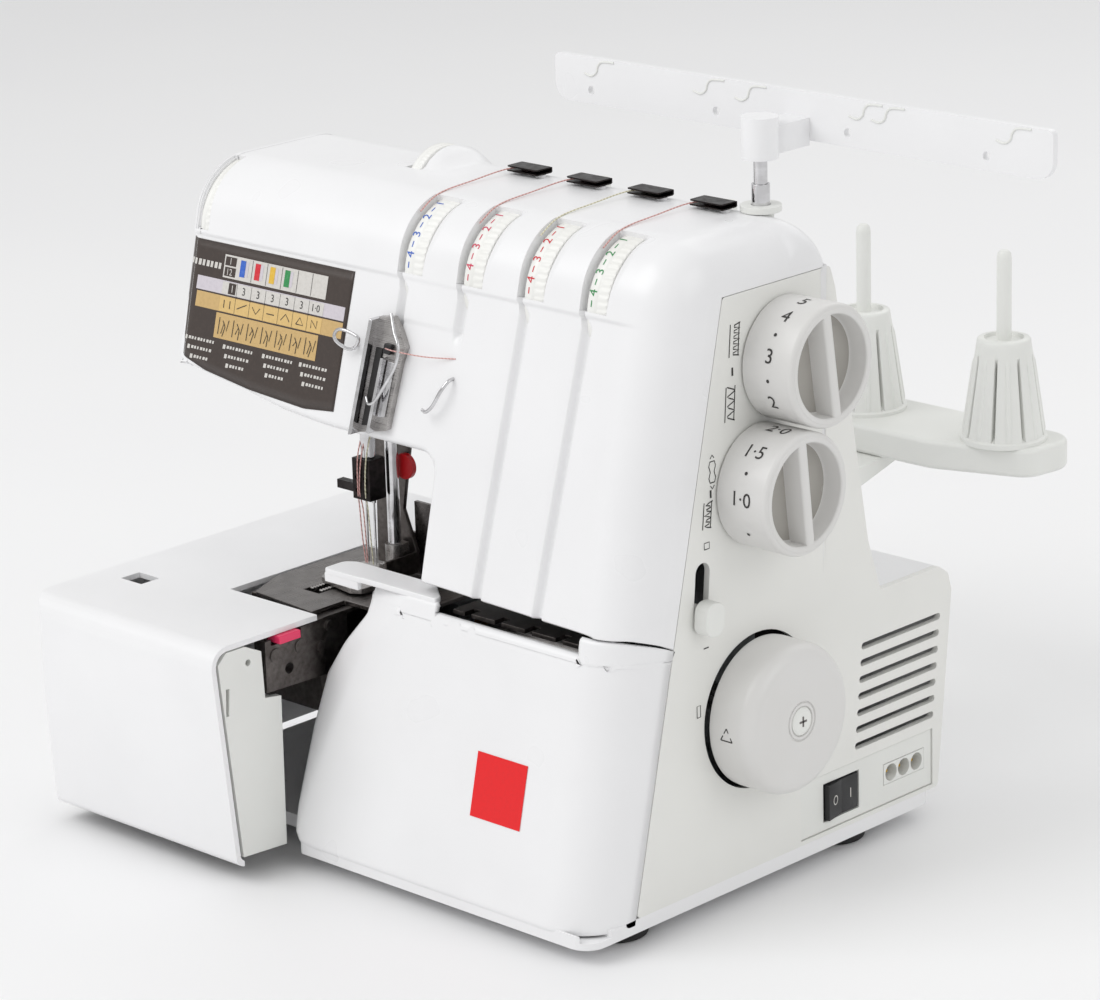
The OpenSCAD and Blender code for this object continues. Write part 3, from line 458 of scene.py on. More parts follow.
# Near-black sheet laid in the thread guard's slot: painted shadow for the opening's inside.
paintedSlotShade = mouldedAbs("paintedSlotShadow", "#1c1a1a", "#0f0e0e", 0.55, 0.8, 0.1)
redAcetal = mouldedAbs("mouldedAcetalRed", "#c8141c", "#a50f16", 0.28, 0.5, 0.02)
pinkAbs = mouldedAbs("mouldedAbsPink", "#ee3a68", "#d92c58", 0.34, 0.5, 0.03)
groundSteel = workedMetal("groundSteel", "#c9c6c4", "#9b9896", 0.3)
platedSteel = workedMetal("nickelPlatedSteel", "#8d8987", "#6c6866", 0.32, (0.6, 25, 0.6), 0.01)
greyPlate = workedMetal("zincPlatedSheet", "#77726f", "#544f4d", 0.4, (2, 2, 2), 0.02, 0.3)
chrome = workedMetal("polishedChrome", "#e4e4e6", "#c2c1c2", 0.1, (20, 20, 4), 0.002)
blackOxide = workedMetal("blackenedSteel", "#3a3535", "#211e1e", 0.36, (3, 3, 3), 0.02, 0.3)
castFrame = workedMetal("dieCastAluminium", "#9fa2a4", "#7c7f81", 0.5, (1.5, 1.5, 1.5), 0.08, 0.6)
bronze = workedMetal("sinteredBronze", "#a9793f", "#7b5429", 0.45, (0.8, 0.8, 0.8), 0.03, 0.5)
brassPin = workedMetal("turnedBrass", "#d9b45a", "#a8842f", 0.25, (0.2, 8, 8), 0.005)
tanFilm = printedInk("bronzeFoil", "#6b4a35", "#533626", 0.3)
rubber = footRubber()
beltRubber = footRubber("ribbedBeltRubber", "#101010", "#1d1d1e")
lampLens = frostedLens()
labelBrown = printedInk("labelFilmBrown", "#3b312c", "#473b35", 0.36)
inkWhite = printedInk("inkPaleGrey", "#d3d0cb", "#bdb9b3")
inkLilac = printedInk("inkLilacGrey", "#cfc9d0", "#beb8c0")
inkTan = printedInk("inkTan", "#d9b878", "#c9a868")
inkSand = printedInk("inkSand", "#cbab73", "#b99a64")
inkBlack = printedInk("inkBlack", "#2a2827", "#3d3a39")
inkBlue = printedInk("inkBlue", "#2f5fc0", "#5c82cc")
inkRed = printedInk("inkRed", "#cf2230", "#d84d55")
inkPink = printedInk("inkRose", "#d23a5a", "#dd6a80")
inkYellow = printedInk("inkYellow", "#ddb33a", "#e5c464")
inkGreen = printedInk("inkGreen", "#2c8a4b", "#569c6c")
patchRed = printedInk("inkPatchRed", "#e8000b", "#dd0a12", 0.34)
threadRose = twistedThread("spunPolyesterRose", "#e3b3ad", "#b98580")
threadCream = twistedThread("spunPolyesterCream", "#e6e2c8", "#bdb89a")
print("materials made")


def layFloor():
    size = 3500.0
    corners = [(-size, -size, -0.2), (size, -size, -0.2), (size, size, -0.2), (-size, size, -0.2)]
    floor = meshObject("studioFloor", [(corners, [[0, 1, 2, 3]], 0)], [studioFloor()])


placeCamera()
layFloor()
for lampName in ("keyLight", "sideLight", "backLight"):
    placeLight(lampName, **studio[lampName])
world = bpy.data.worlds.new("studioSky")
world.use_nodes = True
world.node_tree.nodes["Background"].inputs["Color"].default_value = toLinear("#ffffff")
world.node_tree.nodes["Background"].inputs["Strength"].default_value = studio["sky"]
bpy.context.scene.world = world
bpy.context.scene.view_settings.view_transform = "Standard"
print("studio ready")


slotOf = {part["node"]: part["material_slot"] for part in frame["record"]["subparts"]}


# A copy of a CAD node with its loose triangles merged, its flat faces joined and its edges rounded.
def finishedCopy(node, material, width):
    source = frame["nodes"][node]
    mesh = source.data.copy()
    tidy = bmesh.new()
    tidy.from_mesh(mesh)
    bmesh.ops.remove_doubles(tidy, verts=tidy.verts, dist=0.002 * mm)
    bmesh.ops.dissolve_limit(tidy, angle_limit=math.radians(0.7), verts=tidy.verts, edges=tidy.edges)
    tidy.to_mesh(mesh)
    tidy.free()
    mesh.materials.clear()
    mesh.materials.append(material)
    mesh.polygons.foreach_set("material_index", np.zeros(len(mesh.polygons), np.int32))
    mesh.polygons.foreach_set("use_smooth", np.ones(len(mesh.polygons), bool))
    mesh.set_sharp_from_angle(angle=math.radians(35))
    piece = bpy.data.objects.new(node.replace("_", "") + "Finish", mesh)
    bpy.context.scene.collection.objects.link(piece)
    if width:
        roundEdges(piece, width)
    return settle(piece, source["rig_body"], slotOf[node], node)


def paintNode(node, material):
    mesh = frame["nodes"][node].data
    mesh.materials.clear()
    mesh.materials.append(material)


# Nodes that keep their CAD shape: material and edge radius in mm.
finishedNodes = {
    "base_tray": (casingWhite, 1.2), "rear_casing": (casingWhite, 2.5), "power_panel": (softWhite, 0.4),
    "table_inner_plate": (softWhite, 0.7),
    # the side panel's darker white is painted shade
    "side_panel": (shadedPanelWhite, 1.0), "extension_table": (tableWhite, 2.5),
    "rubber_feet": (rubber, 0.8), "power_rocker": (blackAbs, 0.5),
    "power_inlet": (softWhite, 0.2), "knife_arm": (greyPlate, 0.3), "knife_knob": (redAcetal, 0.4),
    "needle_clamp": (blackOxide, 0.3), "plate_setting_knob": (softWhite, 0.8), "drive_belt": (beltRubber, 0),
    "thread_bar": (casingWhite, 0.8), "release_button": (pinkAbs, 0.5),
    "looper_side_plate": (greyPlate, 0.2),
    "needle_plate": (platedSteel, 0.25), "looper_guide_plate": (greyPlate, 0.2),
    "knife_guard": (platedSteel, 0.2),
    "lower_knife": (groundSteel, 0.1), "presser_foot": (groundSteel, 0.25), "presser_bar": (chrome, 0.3),
    "needle_bar": (chrome, 0.3), "main_feed_dog": (groundSteel, 0.06),
    "differential_feed_dog": (groundSteel, 0.06),
    "lower_looper": (chrome, 0.3), "upper_looper": (chrome, 0.3), "presser_lifter": (blackAbs, 0.5),
    "free_arm": (greyPlate, 0.4), "cover_hinge_pins": (groundSteel, 0.2), "lamp_lens": (lampLens, 0.3),
    "pole_outer_tube": (softWhite, 0.4), "pole_middle_tube": (chrome, 0.2), "pole_rod": (chrome, 0.2),
}
# Nodes inside the machine: they show only through the openings.
hiddenNodes = {
    "inner_frame": castFrame, "main_shaft": groundSteel, "shaft_bearings": bronze, "motor": blackOxide,
    "motor_pulley": groundSteel, "needle_rocker": castFrame, "tension_units": chrome, "needles": chrome,
}


dials = {"count": 4, "left": -156.6, "pitch": 36.2, "width": 11.6, "radius": 31.2,
         "y": float(frontY(machine["top"] - 33)) + 32.8, "z": machine["top"] - 33}
dialLefts = [dials["left"] + i * dials["pitch"] for i in range(dials["count"])]
casing = {
    "wall": 1.6, "back": 150.0, "frontRound": 30.0, "rearRound": 22.0, "rightRound": 21.5, "rearEdge": 1.0,
    "leftRound": 9.0, "edgeRound": 3.5, "sillRound": 1.3, "fillet": 9.0, "underCorner": 9.0,
    "seamTop": 271.7,                             # where the side panel's top edge meets the casing
    "endMiddle": (84.0, 246.0),                   # y and z of the left end face's middle
    "sill": [(-125, 138.0), (-20, 135.0), (0, 135.0)],  # lower edge of the column, as x and z
    "coverSwing": 118.3, "hingeZ": 20.0,          # the cover swings clear of this arc
    "slotDepth": 15.0, "slotLow": 264.9, "slotEnd": 77.2,  # the dials' slots stop here, on face and top
    "slotGap": 0.7, "scoop": 4.6, "scoopDepth": 2.2,
    "ledge": (263.8, 261.6), "ledgeDepth": 1.5,   # runs across the face under the dials
    "lowLedge": (246.2, 243.8),                   # second ledge, under the first dial only
    "grooveDepth": 3.2, "grooveHalf": 3.2,
    "channel": 2.9,                               # thread channel at the left of each dial
    "pressureSlot": (-207.0, -196.8), "pressureY": 123.0, "pressureZ": machine["top"] - 14,
    "pressureRadius": 22.0, "hump": (-194.5, -183),
    "programSlot": (-289.6, -282.4),
}
levels = np.array([135.0, 200.0, 240.0, 257.5, 263.0])  # heights at which the grid's x lines are given
seamDeep = machine["sideSeam"] - 0.4


def grooveCentre(left, z):
    return left + 1.2 + (np.asarray(z, float) - 258) * 0.0554


# Underside of the head: flat by the column, rising to the left end, with a fillet into the column.
def headBottom(x):
    x = np.asarray(x, float)
    left, floor, edge = machine["headLeft"], machine["headFloor"], machine["columnLeft"]
    run = np.interp(x, [left, -250, -208, edge], [floor + 13.5, floor + 6.5, floor + 0.5, floor])
    run = run + 0.9 * np.exp(-((x + 208) / 10) ** 2) + 0.7 * np.exp(-((x + 250) / 12) ** 2)
    corner, fillet = casing["underCorner"], casing["fillet"]
    lift = corner - np.sqrt(corner**2 - np.clip(corner - (x - left), 0, corner) ** 2)
    drop = fillet - np.sqrt(fillet**2 - np.clip(x - edge + fillet, 0, fillet) ** 2)
    return run + lift - drop


# x lines of the casing's grid, each given at the five levels: closer together where the slots, grooves
# and ends are, and leaning with each groove.
def casingLines():
    edge = machine["columnLeft"]
    fixed = [-276, -262, -250, -238, -222, -213, -195.2, -194, -190, -186, -182, -176, -30, -26, -23.5]
    for low, high in (casing["programSlot"], casing["pressureSlot"]):
        fixed += [low - 0.6, low - 0.12, low + 0.12, high - 0.12, high + 0.12, high + 0.6]
    rows = [[x] * 5 for x in fixed]
    family = np.array([-3.4, -2.9, -2.3, -1.6, -0.8, 0.0, 0.8, 1.6, 2.3, 2.9, 3.4])
    for i, left in enumerate(dialLefts):
        slotLeft, slotRight = left - casing["channel"], left + dials["width"] + casing["slotGap"]
        top = [slotLeft + d for d in (-0.9, -0.12, 0.12, 0.9)]
        top += [left + d for d in (-0.8, 0.5, 1.8, 3.2, 4.6, 6, 7.4)]
        for k, u in enumerate(family):
            if i == 1:
                rest = edge + 4.6 + 0.62 * k
                rows.append([rest, rest, grooveCentre(left, 240) + u, grooveCentre(left, 257.5) + u, top[k]])
            else:
                rows.append([float(grooveCentre(left, z)) + u for z in levels[:4]] + [top[k]])
        rows += [[slotRight + d] * 5 for d in (-1.6, -0.12, 0.12, 1.2, 2.4, 3.6, 4.8, 6.5)]
        if i != 1:
            rows += [[slotLeft - d] * 5 for d in (11, 7.6)]
    corner = [edge + d for d in (-9, -7.4, -5.6, -3.8, -2.2, -1.0, -0.3, 0, 0.25, 0.9, 1.9, 3.5)]
    rows += [[low, low, high, high, high] for low, high in zip(corner, np.linspace(edge - 9, edge - 0.8, 12))]
    return np.array(sorted(rows, key=lambda r: r[4]))


def edgeOffset(distance, radius):
    d = np.clip(distance, 0, radius)
    return radius - np.sqrt(radius**2 - (radius - d) ** 2)


capShare = np.array([0.0, 0.35, 0.7, 0.93])       # rings of the left end face, from its middle outwards
leftCurl = 1 - np.cos(np.linspace(0, 1.45, 7))    # and of its rounded edge
rightTurn = np.linspace(0, math.pi / 2, 13)[1:]
first = len(capShare) + len(leftCurl)


# Heights of the front's rows, from the column's lower edge up to the start of the top curve, and the
# height of the lower edge at every column.
def frontHeights(lines):
    seam = len(rightTurn) + 2
    ends = np.concatenate([np.full(len(capShare), 0.0), leftCurl]) * casing["leftRound"] + machine["headLeft"]
    xLow = np.concatenate([ends, lines[:, 1], np.zeros(seam)])
    columns = len(xLow)
    inward = np.zeros(columns)
    inward[-seam:-2] = casing["rightRound"] * (1 - np.cos(rightTurn))
    inward[-2:] = seamDeep
    straight = np.interp(xLow, *np.array(casing["sill"]).T)
    swing = casing["hingeZ"] + np.sqrt(casing["coverSwing"] ** 2 - (frontY(131.0) + inward) ** 2)
    columnLow = np.where(np.arange(columns) >= columns - seam, np.minimum(straight, swing), straight)
    headLow = headBottom(xLow)
    columnRise = np.array([0, 0.012, 0.03, 0.07, 0.14, 0.25, 0.4, 0.55, 0.7, 0.85, 0.95])
    zColumn = columnLow + (headLow - columnLow) * columnRise[:, None]
    zEdge = headLow + np.array([0, 0.1, 0.4, 1.0, 1.9, 2.8, 3.5])[:, None]
    zHead = zEdge[-1] + (219 - zEdge[-1]) * np.array([0.15, 0.35, 0.6, 0.8, 1.0])[:, None]
    steps = [224, 230, 235, 239, 241.5, 243.2, 243.9, 244.5, 245.3, 246, 246.5, 248, 251, 254, 256, 257.5,
             258.5, 259.5, 260.5, 261.2, 261.8, 262.3, 262.9, 263.5, 263.9, 264.4, 264.78, 265.02, 266,
             267.5, 269, 270.5]
    zFace = np.repeat(np.array(steps)[:, None], columns, 1)
    return np.concatenate([zColumn, zEdge, zHead, zFace]), zEdge, zColumn, columnLow


# How deep each point lies under the plain profile: ledges, grooves, slots, scoops beside the dials,
# less the hump beside the foot pressure wheel.
def casingDepth(x, y, z, frontRow, rearRow):
    def across(low, high, edge=0.1):
        return smooth(x, low - edge, low + edge) * (1 - smooth(x, high - edge, high + edge))

    face = frontRow[:, None]
    above = (~frontRow)[:, None] & (y > 95)
    ledge = casing["ledgeDepth"] * (1 - smooth(z, *casing["ledge"][::-1])) * (1 - smooth(x, -30, -14))
    panel = across(float(grooveCentre(dialLefts[0], 250)), float(grooveCentre(dialLefts[1], 250)), 1.5)
    ledge = ledge * (1 - 0.5 * panel * smooth(z, *casing["lowLedge"][::-1]))
    depth = np.where(face, ledge, 0.0)
    inSlot = ((z >= casing["slotLow"]) & (y <= casing["slotEnd"])).astype(float)
    inSlot[rearRow] = 0
    opening = smooth(z, 266, 288) * inSlot
    fades = {0: smooth(z, 199, 206), 1: smooth(z, 240, 245)}  # the first two grooves stop higher up
    kink = smooth(z, 257.5, 263)                              # where a groove bends into its channel
    for i, left in enumerate(dialLefts):
        right = left + dials["width"] + casing["slotGap"]
        centre = grooveCentre(left, np.clip(z, 135, 258))
        centre = centre + (left - casing["channel"] / 2 - centre) * kink
        half = casing["grooveHalf"] * (1 - 0.5 * kink)
        groove = casing["grooveDepth"] * (1 - smooth(np.abs(x - centre), 0.3 * half, half))
        depth += np.where(face & (z < casing["slotLow"]), groove * fades.get(i, 1.0), 0)
        depth += casing["slotDepth"] * across(left - casing["channel"], right) * inSlot
        scoop = 1 - smooth(x, right, right + casing["scoop"] * opening + 0.01)
        scoop = scoop * smooth(x, right - 0.1, right + 0.1)
        depth += casing["scoopDepth"] * scoop * opening
    depth += casing["slotDepth"] * across(*casing["programSlot"]) * inSlot
    wheelY, wheelZ, wheelR = casing["pressureY"], casing["pressureZ"], casing["pressureRadius"]
    overWheel = above & ((y - wheelY) ** 2 + (z - wheelZ) ** 2 < (wheelR + 0.8) ** 2)
    depth += casing["slotDepth"] * across(*casing["pressureSlot"]) * overWheel
    crown = np.sqrt(np.clip(wheelR**2 - (y - wheelY) ** 2, 0, None)) + wheelZ - z
    hump = np.clip(crown, 0, None) * (1 - smooth(x, *casing["hump"])) * smooth(x, -196.8, -196.6)
    return depth - np.where(above & ~rearRow[:, None], hump, 0)


# Extra depth that rounds the edges along the head's underside, the column's left side and its sill.
def casingEdges(x, z, frontRow, rearRow, columnLow):
    edge, round_ = machine["columnLeft"], casing["fillet"]
    filletZ = machine["headFloor"] - round_
    fillet = np.hypot(x - edge + round_, z - filletZ) - round_
    beside = np.where(z > filletZ, fillet, x - edge)
    outline = np.where(x < edge - round_, (z - headBottom(x)) * 0.985, beside)
    onHead = (x <= edge + 8) & (frontRow | rearRow)[:, None] & (z < 205)
    sill = (z - columnLow[None, :]) * smooth(x, edge - 0.2, edge + 0.2)
    onSill = frontRow[:, None] & (x > edge - 0.1) & (z < 150)
    return (np.where(onHead, edgeOffset(outline, casing["edgeRound"]), 0)
            + np.where(onSill, edgeOffset(sill, casing["sillRound"]), 0))


# The casing's skin. One row runs round the front, top and back, one column runs at each x line. Point =
# profile point + inward normal * depth; at the right end every row turns a quarter circle inwards and
# goes flat to the side panel's seam, and at the left end the rows draw in to close the end.
def casingSkin():
    lean = math.radians(machine["frontLean"])
    top, back = machine["top"], casing["back"]
    reach = casing["frontRound"] / math.tan((math.pi / 2 + lean) / 2)
    arcY, arcZ = float(frontY(top)) + reach, top - casing["frontRound"]
    rearY, rearZ = back - casing["rearRound"], top - casing["rearRound"]
    lines = casingLines()
    zFront, zEdge, zColumn, columnLow = frontHeights(lines)
    faceRows, columns = zFront.shape
    lowRows, middle = len(zColumn), len(lines)

    frontAngles = np.linspace(math.pi - lean, math.pi / 2, 27)
    slotAngle = math.acos((casing["slotEnd"] - arcY) / casing["frontRound"])
    frontAngles = np.sort(np.concatenate([frontAngles, [slotAngle + 0.004, slotAngle - 0.004]]))[::-1]
    topY = [86, 92, 98, 102, 104.6, 104.9, 107, 110, 114, 118, 122, 126]
    rearAngles = np.linspace(math.pi / 2, 0, 15)
    rearZs = [rearZ - 3, 255, 240, 227, 219]
    wallRows = len(rearZs) + len(zEdge) + lowRows

    def spread(values):
        return np.repeat(np.asarray(values, float)[:, None], columns, 1)

    y = np.concatenate([frontY(zFront), spread(arcY + casing["frontRound"] * np.cos(frontAngles)),
                        spread(topY), spread(rearY + casing["rearRound"] * np.cos(rearAngles)),
                        spread([back] * wallRows)])
    z = np.concatenate([zFront, spread(arcZ + casing["frontRound"] * np.sin(frontAngles)),
                        spread([top] * len(topY)), spread(rearZ + casing["rearRound"] * np.sin(rearAngles)),
                        spread(rearZs), zEdge[::-1], zColumn[::-1]])
    normalAngle = np.concatenate([np.full(faceRows, math.pi - lean), frontAngles,
                                  np.full(len(topY), math.pi / 2), rearAngles, np.zeros(wallRows)])
    rows = len(normalAngle)
    frontRow = np.arange(rows) < faceRows
    rearRow = np.arange(rows) >= rows - wallRows

    x = np.zeros((rows, columns))
    x[:, :len(capShare)] = machine["headLeft"]
    x[:, len(capShare):first] = machine["headLeft"] + casing["leftRound"] * leftCurl
    for j in range(middle):
        x[:, first + j] = np.interp(np.clip(z[:, first + j], levels[0], levels[-1]), levels, lines[j])
    depth = casingDepth(x, y, z, frontRow, rearRow) + casingEdges(x, z, frontRow, rearRow, columnLow)
    y = y - np.cos(normalAngle)[:, None] * depth
    z = z - np.sin(normalAngle)[:, None] * depth

    # right end
    last = first + middle - 1
    inwardAngle = normalAngle.copy()
    inwardAngle[:faceRows] = math.pi - lean * smooth(zFront[:, last], 200, 268)
    rowRadius = np.where(rearRow, casing["rearEdge"], casing["rightRound"])
    rearArc = rows - wallRows - len(rearAngles)
    rowRadius[rearArc:rearArc + len(rearAngles)] = np.linspace(casing["rightRound"], casing["rearEdge"],
                                                               len(rearAngles))
    startY, startZ = y[:, last].copy(), z[:, last].copy()
    plainZ = np.vstack([zFront, z[faceRows:]])
    for j, turn in enumerate(rightTurn, last + 1):
        inward = rowRadius * (1 - math.cos(turn))
        x[:, j] = -rowRadius * (1 - math.sin(turn))
        y[:, j] = np.where(frontRow, frontY(plainZ[:, j]), startY) - np.cos(inwardAngle) * inward
        z[:, j] = np.where(frontRow, plainZ[:, j], startZ) - np.sin(inwardAngle) * inward
    seamTop = casing["seamTop"]
    seamZ = np.minimum(plainZ[:, -1] - np.sin(inwardAngle) * seamDeep, seamTop)
    seamZ = np.where(frontRow, seamZ, seamTop)
    seamY = np.where(frontRow, frontY(seamZ) + seamDeep, np.clip(startY, frontY(seamTop) + seamDeep, back))
    for j, xEnd in ((-2, 0.0), (-1, -2.8)):
        x[:, j], y[:, j], z[:, j] = xEnd, seamY, seamZ

    # left end
    drawIn = casing["leftRound"] * (1 - np.sqrt(1 - (1 - leftCurl) ** 2))
    drawIn = np.concatenate([np.full(len(capShare), drawIn[0]), drawIn])
    share = np.concatenate([capShare, np.ones(len(leftCurl))])
    hubY, hubZ = casing["endMiddle"]
    away = np.maximum(np.hypot(y[:, :first] - hubY, z[:, :first] - hubZ), 1)
    shrink = (1 - drawIn / away) * share
    y[:, :first] = hubY + (y[:, :first] - hubY) * shrink
    z[:, :first] = hubZ + (z[:, :first] - hubZ) * shrink

    grid = np.stack([x, y, z], -1)
    edgeColumn = int(np.argmin(np.abs(lines[:, 0] - machine["columnLeft"]))) + first
    quads = gridFaces(rows, columns)
    rowOf, columnOf = quads[:, 0] // columns, quads[:, 0] % columns
    belowHead = (rowOf < lowRows) | (rowOf >= rows - lowRows - 1)
    keep = ~(belowHead & (columnOf < edgeColumn))
    keep &= ~((columnOf >= columns - 2) & (rowOf >= rows - wallRows - 1))

    # the underside and the column's left wall: straight lines from the front's edge to the back's
    low, high = lowRows, rows - 1 - lowRows
    frontEdge = np.concatenate([grid[low, :edgeColumn + 1], grid[:low, edgeColumn][::-1]])
    backEdge = np.concatenate([grid[high, :edgeColumn + 1], grid[high + 1:, edgeColumn]])
    share = np.array([0, 0.02, 0.1, 0.3, 0.5, 0.7, 0.9, 0.98, 1])[:, None, None]
    strip = frontEdge[None] * (1 - share) + backEdge[None] * share
    return [(grid, quads[keep], 0), (strip, gridFaces(len(share), len(frontEdge), flip=True), 0)]


def makeCasing():
    skin = meshObject("frontCasingShell", casingSkin(), [casingWhite], sharpAngle=42)
    giveWall(skin, casing["wall"])
    settle(skin, "frame", "casing_white", "front_casing")


makeCasing()
print("casing made")


cover = {
    "low": 10.8, "top": 131.4, "wall": 2.4, "wallRound": 3.0, "rightRound": 24.0,
    "gapLeft": -111.0, "gapRight": -26.0, "gapZ": 126.8,  # the top edge is lower here, for the fingers
    "sill": 134.3, "swing": casing["coverSwing"] - 1,
    "crease": [(12, -180.5), (28.9, -177.8), (103.8, -152.9), (131.4, -128)],  # as z and x
    "leftEdge": [(10.8, -172), (12.5, -177), (17, -180.6), (26, -181.6), (62, -181.4), (86, -178.5),
                 (100, -170), (116, -157.8), (131.4, -158)],
}


# Looper cover's skin. One row at each height z, from the bottom to the top edge; u goes along the row
# from the left edge to the side seam. The face follows the sloping front, falls back beyond the crease
# and turns a quarter circle at the right.
def coverSkin():
    z0, z1 = cover["low"], cover["top"]
    edge = np.array([0, 0.4, 1.2, 2.4, 3.6])
    zs = np.concatenate([z0 + edge, np.linspace(z0 + 6, cover["gapZ"] - 3.4, 46),
                         cover["gapZ"] - edge[::-1], [127.9, 129, 130, 130.8, 131.4]])
    left = np.interp(zs, *np.array(cover["leftEdge"]).T)
    crease = np.interp(zs, *np.array(cover["crease"]).T)
    reach = cover["rightRound"]
    flat = np.concatenate([[0, 0.004, 0.012, 0.025, 0.05], np.linspace(0.08, 0.96, 56), [0.985, 1.0]])
    gapAt = [cover["gapLeft"] + d for d in (-1.6, -0.8, 0, 0.6)]
    gapAt += [cover["gapRight"] + d for d in (-0.6, 0, 1, 2)]
    x = left[:, None] + (-reach - left[:, None]) * flat
    x = np.sort(np.concatenate([x, np.repeat(np.array(gapAt)[None], len(zs), 0)], 1), 1)
    back = np.clip(crease[:, None] + 2 - x, 0, None)
    y = frontY(zs)[:, None] + 0.2 + 0.34 * back**2 / (back + 4)
    z = np.repeat(zs[:, None], x.shape[1], 1)
    # rounded left edge, bottom edge and top edge
    side = edgeOffset(x - left[:, None], cover["wallRound"]) + edgeOffset(z - z0, cover["wallRound"])
    inGap = (x > cover["gapLeft"]) & (x < cover["gapRight"])
    y = y + np.clip(side, 0, 2 * cover["wallRound"])
    y = y + np.where(inGap, edgeOffset(cover["gapZ"] - z, 2.6), edgeOffset(z1 - z, 1.6))
    turn = np.linspace(0, math.pi / 2, 15)[1:]
    last = y[:, -1:]
    cornerX = np.repeat((-reach + reach * np.sin(turn))[None], len(zs), 0)
    cornerY = last + reach * (1 - np.cos(turn))[None]
    x = np.concatenate([x, cornerX, np.zeros((len(zs), 1))], 1)
    y = np.concatenate([y, cornerY, frontY(zs)[:, None] + machine["sideSeam"] - 0.6], 1)
    z = np.concatenate([z, np.repeat(zs[:, None], len(turn) + 1, 1)], 1)
    # right of the gap the top edge rises to the casing's sill, inside the arc that the cover swings on
    sill = np.minimum(cover["sill"], casing["hingeZ"] + np.sqrt(cover["swing"] ** 2 - y**2))
    rise = (z - 120) * (sill - z1) / (z1 - 120)
    near = np.where(z > cover["gapZ"], x > cover["gapRight"] - 0.1, smooth(x, cover["gapRight"], -14))
    z = z + np.where(z > 120, rise * near, 0)
    grid = np.stack([x, y, z], -1)
    rows, columns = z.shape
    quads = gridFaces(rows, columns)
    cell = grid.reshape(-1, 3)[quads].mean(1)
    cut = (cell[:, 0] > cover["gapLeft"]) & (cell[:, 0] < cover["gapRight"]) & (cell[:, 2] > cover["gapZ"])
    return [(grid.reshape(-1, 3), quads[~cut], 0)]


def makeCover():
    skin = meshObject("looperCoverSkin", coverSkin(), [casingWhite], sharpAngle=44)
    giveWall(skin, cover["wall"])
    shelfFront = frontY(131) + 0.6
    shelf = [(-181.4, 20.6), (-181.4, 33), (-176, 36.6), (-126.5, 36.6), (-112.2, 25), (-112.2, shelfFront),
             (-157, shelfFront), (-160, 20.6)]
    outline = roundedOutline(shelf, [2, 5, 6, 2, 3, 0.8, 3, 0.6], 4)
    top = meshObject("looperCoverShelf", [slabPart(outline, 130.2, 133.0, "z")], [casingWhite])
    roundEdges(outward(top), 0.7)
    tab = meshObject("looperCoverTab", [boxPart((-181.2, 20.7, 126.6), (-160, 23.4, 131))], [casingWhite])
    roundEdges(outward(tab), 0.6)
    for piece in (skin, top, tab):
        settle(piece, "cover", "casing_white", "looper_cover")
    # a plain red square
    u, v = np.meshgrid((-75.2, -45.6), (48.4, 76.0))
    square = np.stack([u.ravel(), frontY(v.ravel()) - 0.02, v.ravel()], 1)
    patch = meshObject("plainRedSquare", [(square, [[0, 1, 3, 2]], 0)], [patchRed])
    settle(patch, "cover", "casing_white")


makeCover()
print("looper cover made")


# A short text in flat ink: its points in mm about its own middle, and its faces.
def inkText(text, height):
    curve = bpy.data.curves.new("ink", "FONT")
    curve.body = text
    curve.size = height * 1.42
    curve.align_x, curve.align_y = "CENTER", "CENTER"
    curve.resolution_u = 3
    holder = bpy.data.objects.new("ink", curve)
    mesh = holder.to_mesh()
    points = np.empty(len(mesh.vertices) * 3)
    mesh.vertices.foreach_get("co", points)
    points = points.reshape(-1, 3)[:, :2]
    faces = [list(p.vertices) for p in mesh.polygons]
    holder.to_mesh_clear()
    bpy.data.objects.remove(holder)
    middle = (points.max(0) + points.min(0)) / 2
    return points - middle, faces


def dot(radius):
    a = np.linspace(0, 2 * math.pi, 14, endpoint=False)
    return np.stack([np.cos(a), np.sin(a)], 1) * radius, [list(range(len(a)))]


def bar(width, height):
    w, h = width / 2, height / 2
    return np.array([(-w, -h), (w, -h), (w, h), (-w, h)]), [[0, 1, 2, 3]]


# Ink laid on a rim about an axis along X: u runs with the axis, v round the rim, angle in degrees
# from +Y towards +Z.
def onRim(shape, centre, radius, x, angle, turned=0.0):
    points, faces = shape
    c, s = math.cos(math.radians(turned)), math.sin(math.radians(turned))
    u, v = points[:, 0] * c - points[:, 1] * s, points[:, 0] * s + points[:, 1] * c
    a = math.radians(angle) - v / radius
    return np.stack([x + u, centre[0] + radius * np.cos(a), centre[1] + radius * np.sin(a)], 1), faces, 0


wheels = {"ridges": 64, "ridgeDepth": 0.28, "scaleWidth": 5.4}


